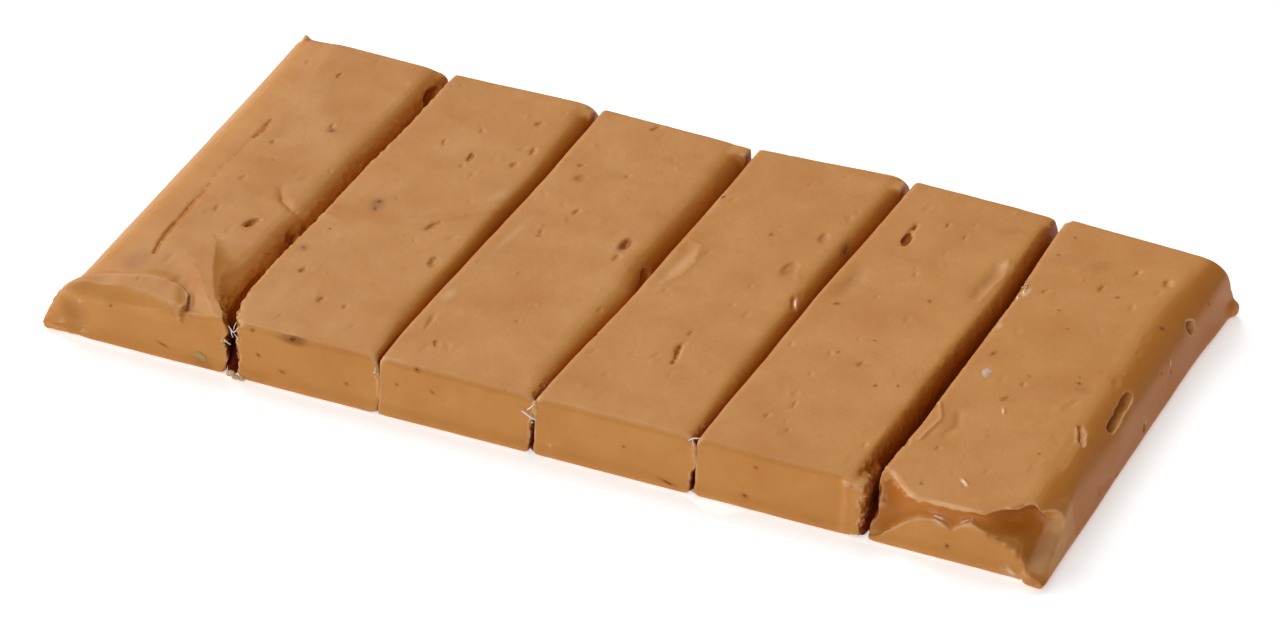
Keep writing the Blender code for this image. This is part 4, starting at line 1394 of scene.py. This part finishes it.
class TAFFY_OT_strips(bpy.types.Operator):
    """Make the six cut strips of taffy"""

    bl_idname = "taffy.strips"
    bl_label = "Strips"

    def execute(self, context):
        for number in STRIPS:
            make_strip(number, context.scene.taffy_shape, context.scene.taffy_finish)
        return {"FINISHED"}


class TAFFY_OT_skins(bpy.types.Operator):
    """Set the brown nut skins into the strips"""

    bl_idname = "taffy.skins"
    bl_label = "Nut skins"

    def execute(self, context):
        parts = []
        for order, (number, face, place, long, wide, turn) in enumerate(SKINS):
            radii = (long / 2 * 0.75, wide / 2 * 0.7, SKIN_THICK)
            parts.append(set_in(number, face, place, radii, turn, SKIN_SINK, order + 50, 3))
        skin = context.scene.taffy_finish.skin
        material = plain_material("nut_skin", skin, 0.5, (0.72, 0.88), 0.02)
        made = dressed(parts, "nut_skins", material)
        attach(made, "root")
        return {"FINISHED"}


class TAFFY_OT_chips(bpy.types.Operator):
    """Set the pale nut chip and the thin flake into the strips"""

    bl_idname = "taffy.chips"
    bl_label = "Nut chips"

    def execute(self, context):
        finish = context.scene.taffy_finish
        colours = {"nut_chip": finish.chip, "pale_flake": finish.flake}
        for name, (number, face, place, radii, turn) in CHIPS.items():
            lump = set_in(number, face, place, radii, turn, 0.4 * radii[2], number, 4)
            material = plain_material(name, colours[name], 0.7, (0.52, 0.68), 0.05)
            made = dressed([lump], name, material)
            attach(made, "root")
        return {"FINISHED"}


class TAFFY_OT_webs(bpy.types.Operator):
    """Close the foot of each cut with the taffy that runs together there, dark with painted shade
    """

    bl_idname = "taffy.webs"
    bl_label = "Foot of the cuts"

    def execute(self, context):
        parts = []
        for radius, places in WEBS:
            sizes = [radius * WEB_FRONT] + [radius] * (len(places) - 2) + [radius * WEB_BACK]
            line = zip(places, WEB_PLACES, sizes)
            line = [Vector((x, y, size + WEB_CLEAR)) * MM for x, y, size in line]
            parts.append(cord(line, [size * MM for size in sizes], "web", 4))
        # The webs wear the painted shade of the cuts' foot
        web = context.scene.taffy_finish.web
        material = plain_material("deep_taffy", web, 0.6, (0.52, 0.68), 0.05)
        made = dressed(parts, "cut_webs", material)
        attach(made, "root")
        return {"FINISHED"}


class TAFFY_OT_crumbs(bpy.types.Operator):
    """Scatter the few pale crumbs at the cuts' front ends"""

    bl_idname = "taffy.crumbs"
    bl_label = "Crumbs"

    def execute(self, context):
        randoms = random.Random(11)
        parts = []
        for middle, spread, size, count in CRUMBS:
            for _ in range(count):
                place = [at + randoms.uniform(-1, 1) * reach for at, reach in zip(middle, spread)]
                radii = [size * randoms.uniform(0.6, 1.2) for _ in range(3)]
                place[2] = max(place[2], 1.5 * max(radii) + 0.02)
                turned = Quaternion((0, 0, 1), randoms.uniform(0, math.tau))
                seed = 400 + len(parts)
                parts.append(pebble(Vector(place) * MM, turned, radii, 0.7, seed, 2))
        crumb = context.scene.taffy_finish.crumb
        material = plain_material("taffy_crumb", crumb, 0.75, (0.52, 0.68), 0.04)
        made = dressed(parts, "crumbs", material)
        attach(made, "root")
        return {"FINISHED"}


class TAFFY_OT_shreds(bpy.types.Operator):
    """Hang the torn shreds of film in the cuts' front ends"""

    bl_idname = "taffy.shreds"
    bl_label = "Film shreds"

    def execute(self, context):
        parts = []
        for radius, line in SHREDS:
            placed = [Vector(place) * MM for place in line]
            sizes = [radius * MM * share for share in [0.5] + [1.0] * (len(line) - 2) + [0.35]]
            parts.append(cord(placed, sizes, "shred"))
        film = context.scene.taffy_finish.torn
        looks = dict(sizes=(2500.0, 5200.0), shine=0.5)
        material = plain_material("torn_film", film, 0.86, (0.15, 0.35), 0.03, **looks)
        made = dressed(parts, "film_shreds", material)
        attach(made, "root")
        return {"FINISHED"}


class TAFFY_OT_film(bpy.types.Operator):
    """Lay the clear film under the strips"""

    bl_idname = "taffy.film"
    bl_label = "Film"

    def execute(self, context):
        made = merged_copy("backing_film", "film_sheet")
        wear_material(made, film_material(context.scene.taffy_finish))
        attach(made, "root")
        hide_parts("backing_film")
        return {"FINISHED"}


class TAFFY_OT_stage(bpy.types.Operator):
    """Add the floor, the light and the camera"""

    bl_idname = "taffy.stage"
    bl_label = "Stage"

    def execute(self, context):
        scene, stage = context.scene, context.scene.taffy_stage
        bpy.ops.object.select_all(action="DESELECT")
        bpy.ops.mesh.primitive_plane_add(size=FLOOR_SIZE, location=(0, 0, -FLOOR_DROP))
        floor = context.object
        floor.name = "pale_floor"
        wear_material(floor, floor_material(stage))
        for side, (turn, rise) in LAMPS.items():
            lamp = bpy.data.lights.new(f"{side}_light", "AREA")
            lamp.energy = getattr(stage, side)
            lamp.size = LAMP_SIZE
            stood(lamp.name, lamp, Vector(), turn, rise, LAMP_REACH)
        sky = bpy.data.worlds.new("white_room")
        sky.use_nodes = True
        fixed(sky.node_tree.nodes["Background"], Color=(1, 1, 1, 1), Strength=stage.sky)
        scene.world = sky
        scene.view_settings.view_transform = "Standard"
        lens = bpy.data.cameras.new("camera")
        lens.lens = stage.lens
        lens.sensor_width = SENSOR_WIDTH
        lens.clip_start, lens.clip_end = 0.01, 20.0
        aim = Vector(AIM) * MM
        scene.camera = stood("camera", lens, aim, CAMERA_TURN, CAMERA_RISE, CAMERA_REACH)
        return {"FINISHED"}


class TAFFY_PT_panel(bpy.types.Panel):
    """The bar's settings and the buttons that build it"""

    bl_idname = "TAFFY_PT_panel"
    bl_label = "Taffy bar"
    bl_space_type = "VIEW_3D"
    bl_region_type = "UI"
    bl_category = "Taffy bar"

    def draw(self, context):
        for group in GROUPS:
            settings = getattr(context.scene, group)
            box = self.layout.box()
            for name in settings.bl_rna.properties.keys():
                if name not in ("rna_type", "name"):
                    box.prop(settings, name)
        for operator in OPERATORS:
            self.layout.operator(operator.bl_idname)


GROUPS = {"taffy_shape": TaffyShape, "taffy_finish": TaffyFinish, "taffy_stage": TaffyStage}
OPERATORS = (
    TAFFY_OT_strips,
    TAFFY_OT_skins,
    TAFFY_OT_chips,
    TAFFY_OT_webs,
    TAFFY_OT_crumbs,
    TAFFY_OT_shreds,
    TAFFY_OT_film,
    TAFFY_OT_stage,
)


def register():
    """Registers the settings, operators and panel."""
    for name, group in GROUPS.items():
        bpy.utils.register_class(group)
        setattr(bpy.types.Scene, name, bpy.props.PointerProperty(type=group))
    for operator in OPERATORS:
        bpy.utils.register_class(operator)
    bpy.utils.register_class(TAFFY_PT_panel)


def unregister():
    """Takes the panel, operators and settings away."""
    bpy.utils.unregister_class(TAFFY_PT_panel)
    for operator in reversed(OPERATORS):
        bpy.utils.unregister_class(operator)
    for name, group in GROUPS.items():
        delattr(bpy.types.Scene, name)
        bpy.utils.unregister_class(group)


def main():
    """Builds the whole bar and its stage."""
    register()
    bpy.ops.taffy.strips()
    bpy.ops.taffy.skins()
    bpy.ops.taffy.chips()
    bpy.ops.taffy.webs()
    bpy.ops.taffy.crumbs()
    bpy.ops.taffy.shreds()
    bpy.ops.taffy.film()
    bpy.ops.taffy.stage()


if __name__ == "__main__":
    main()
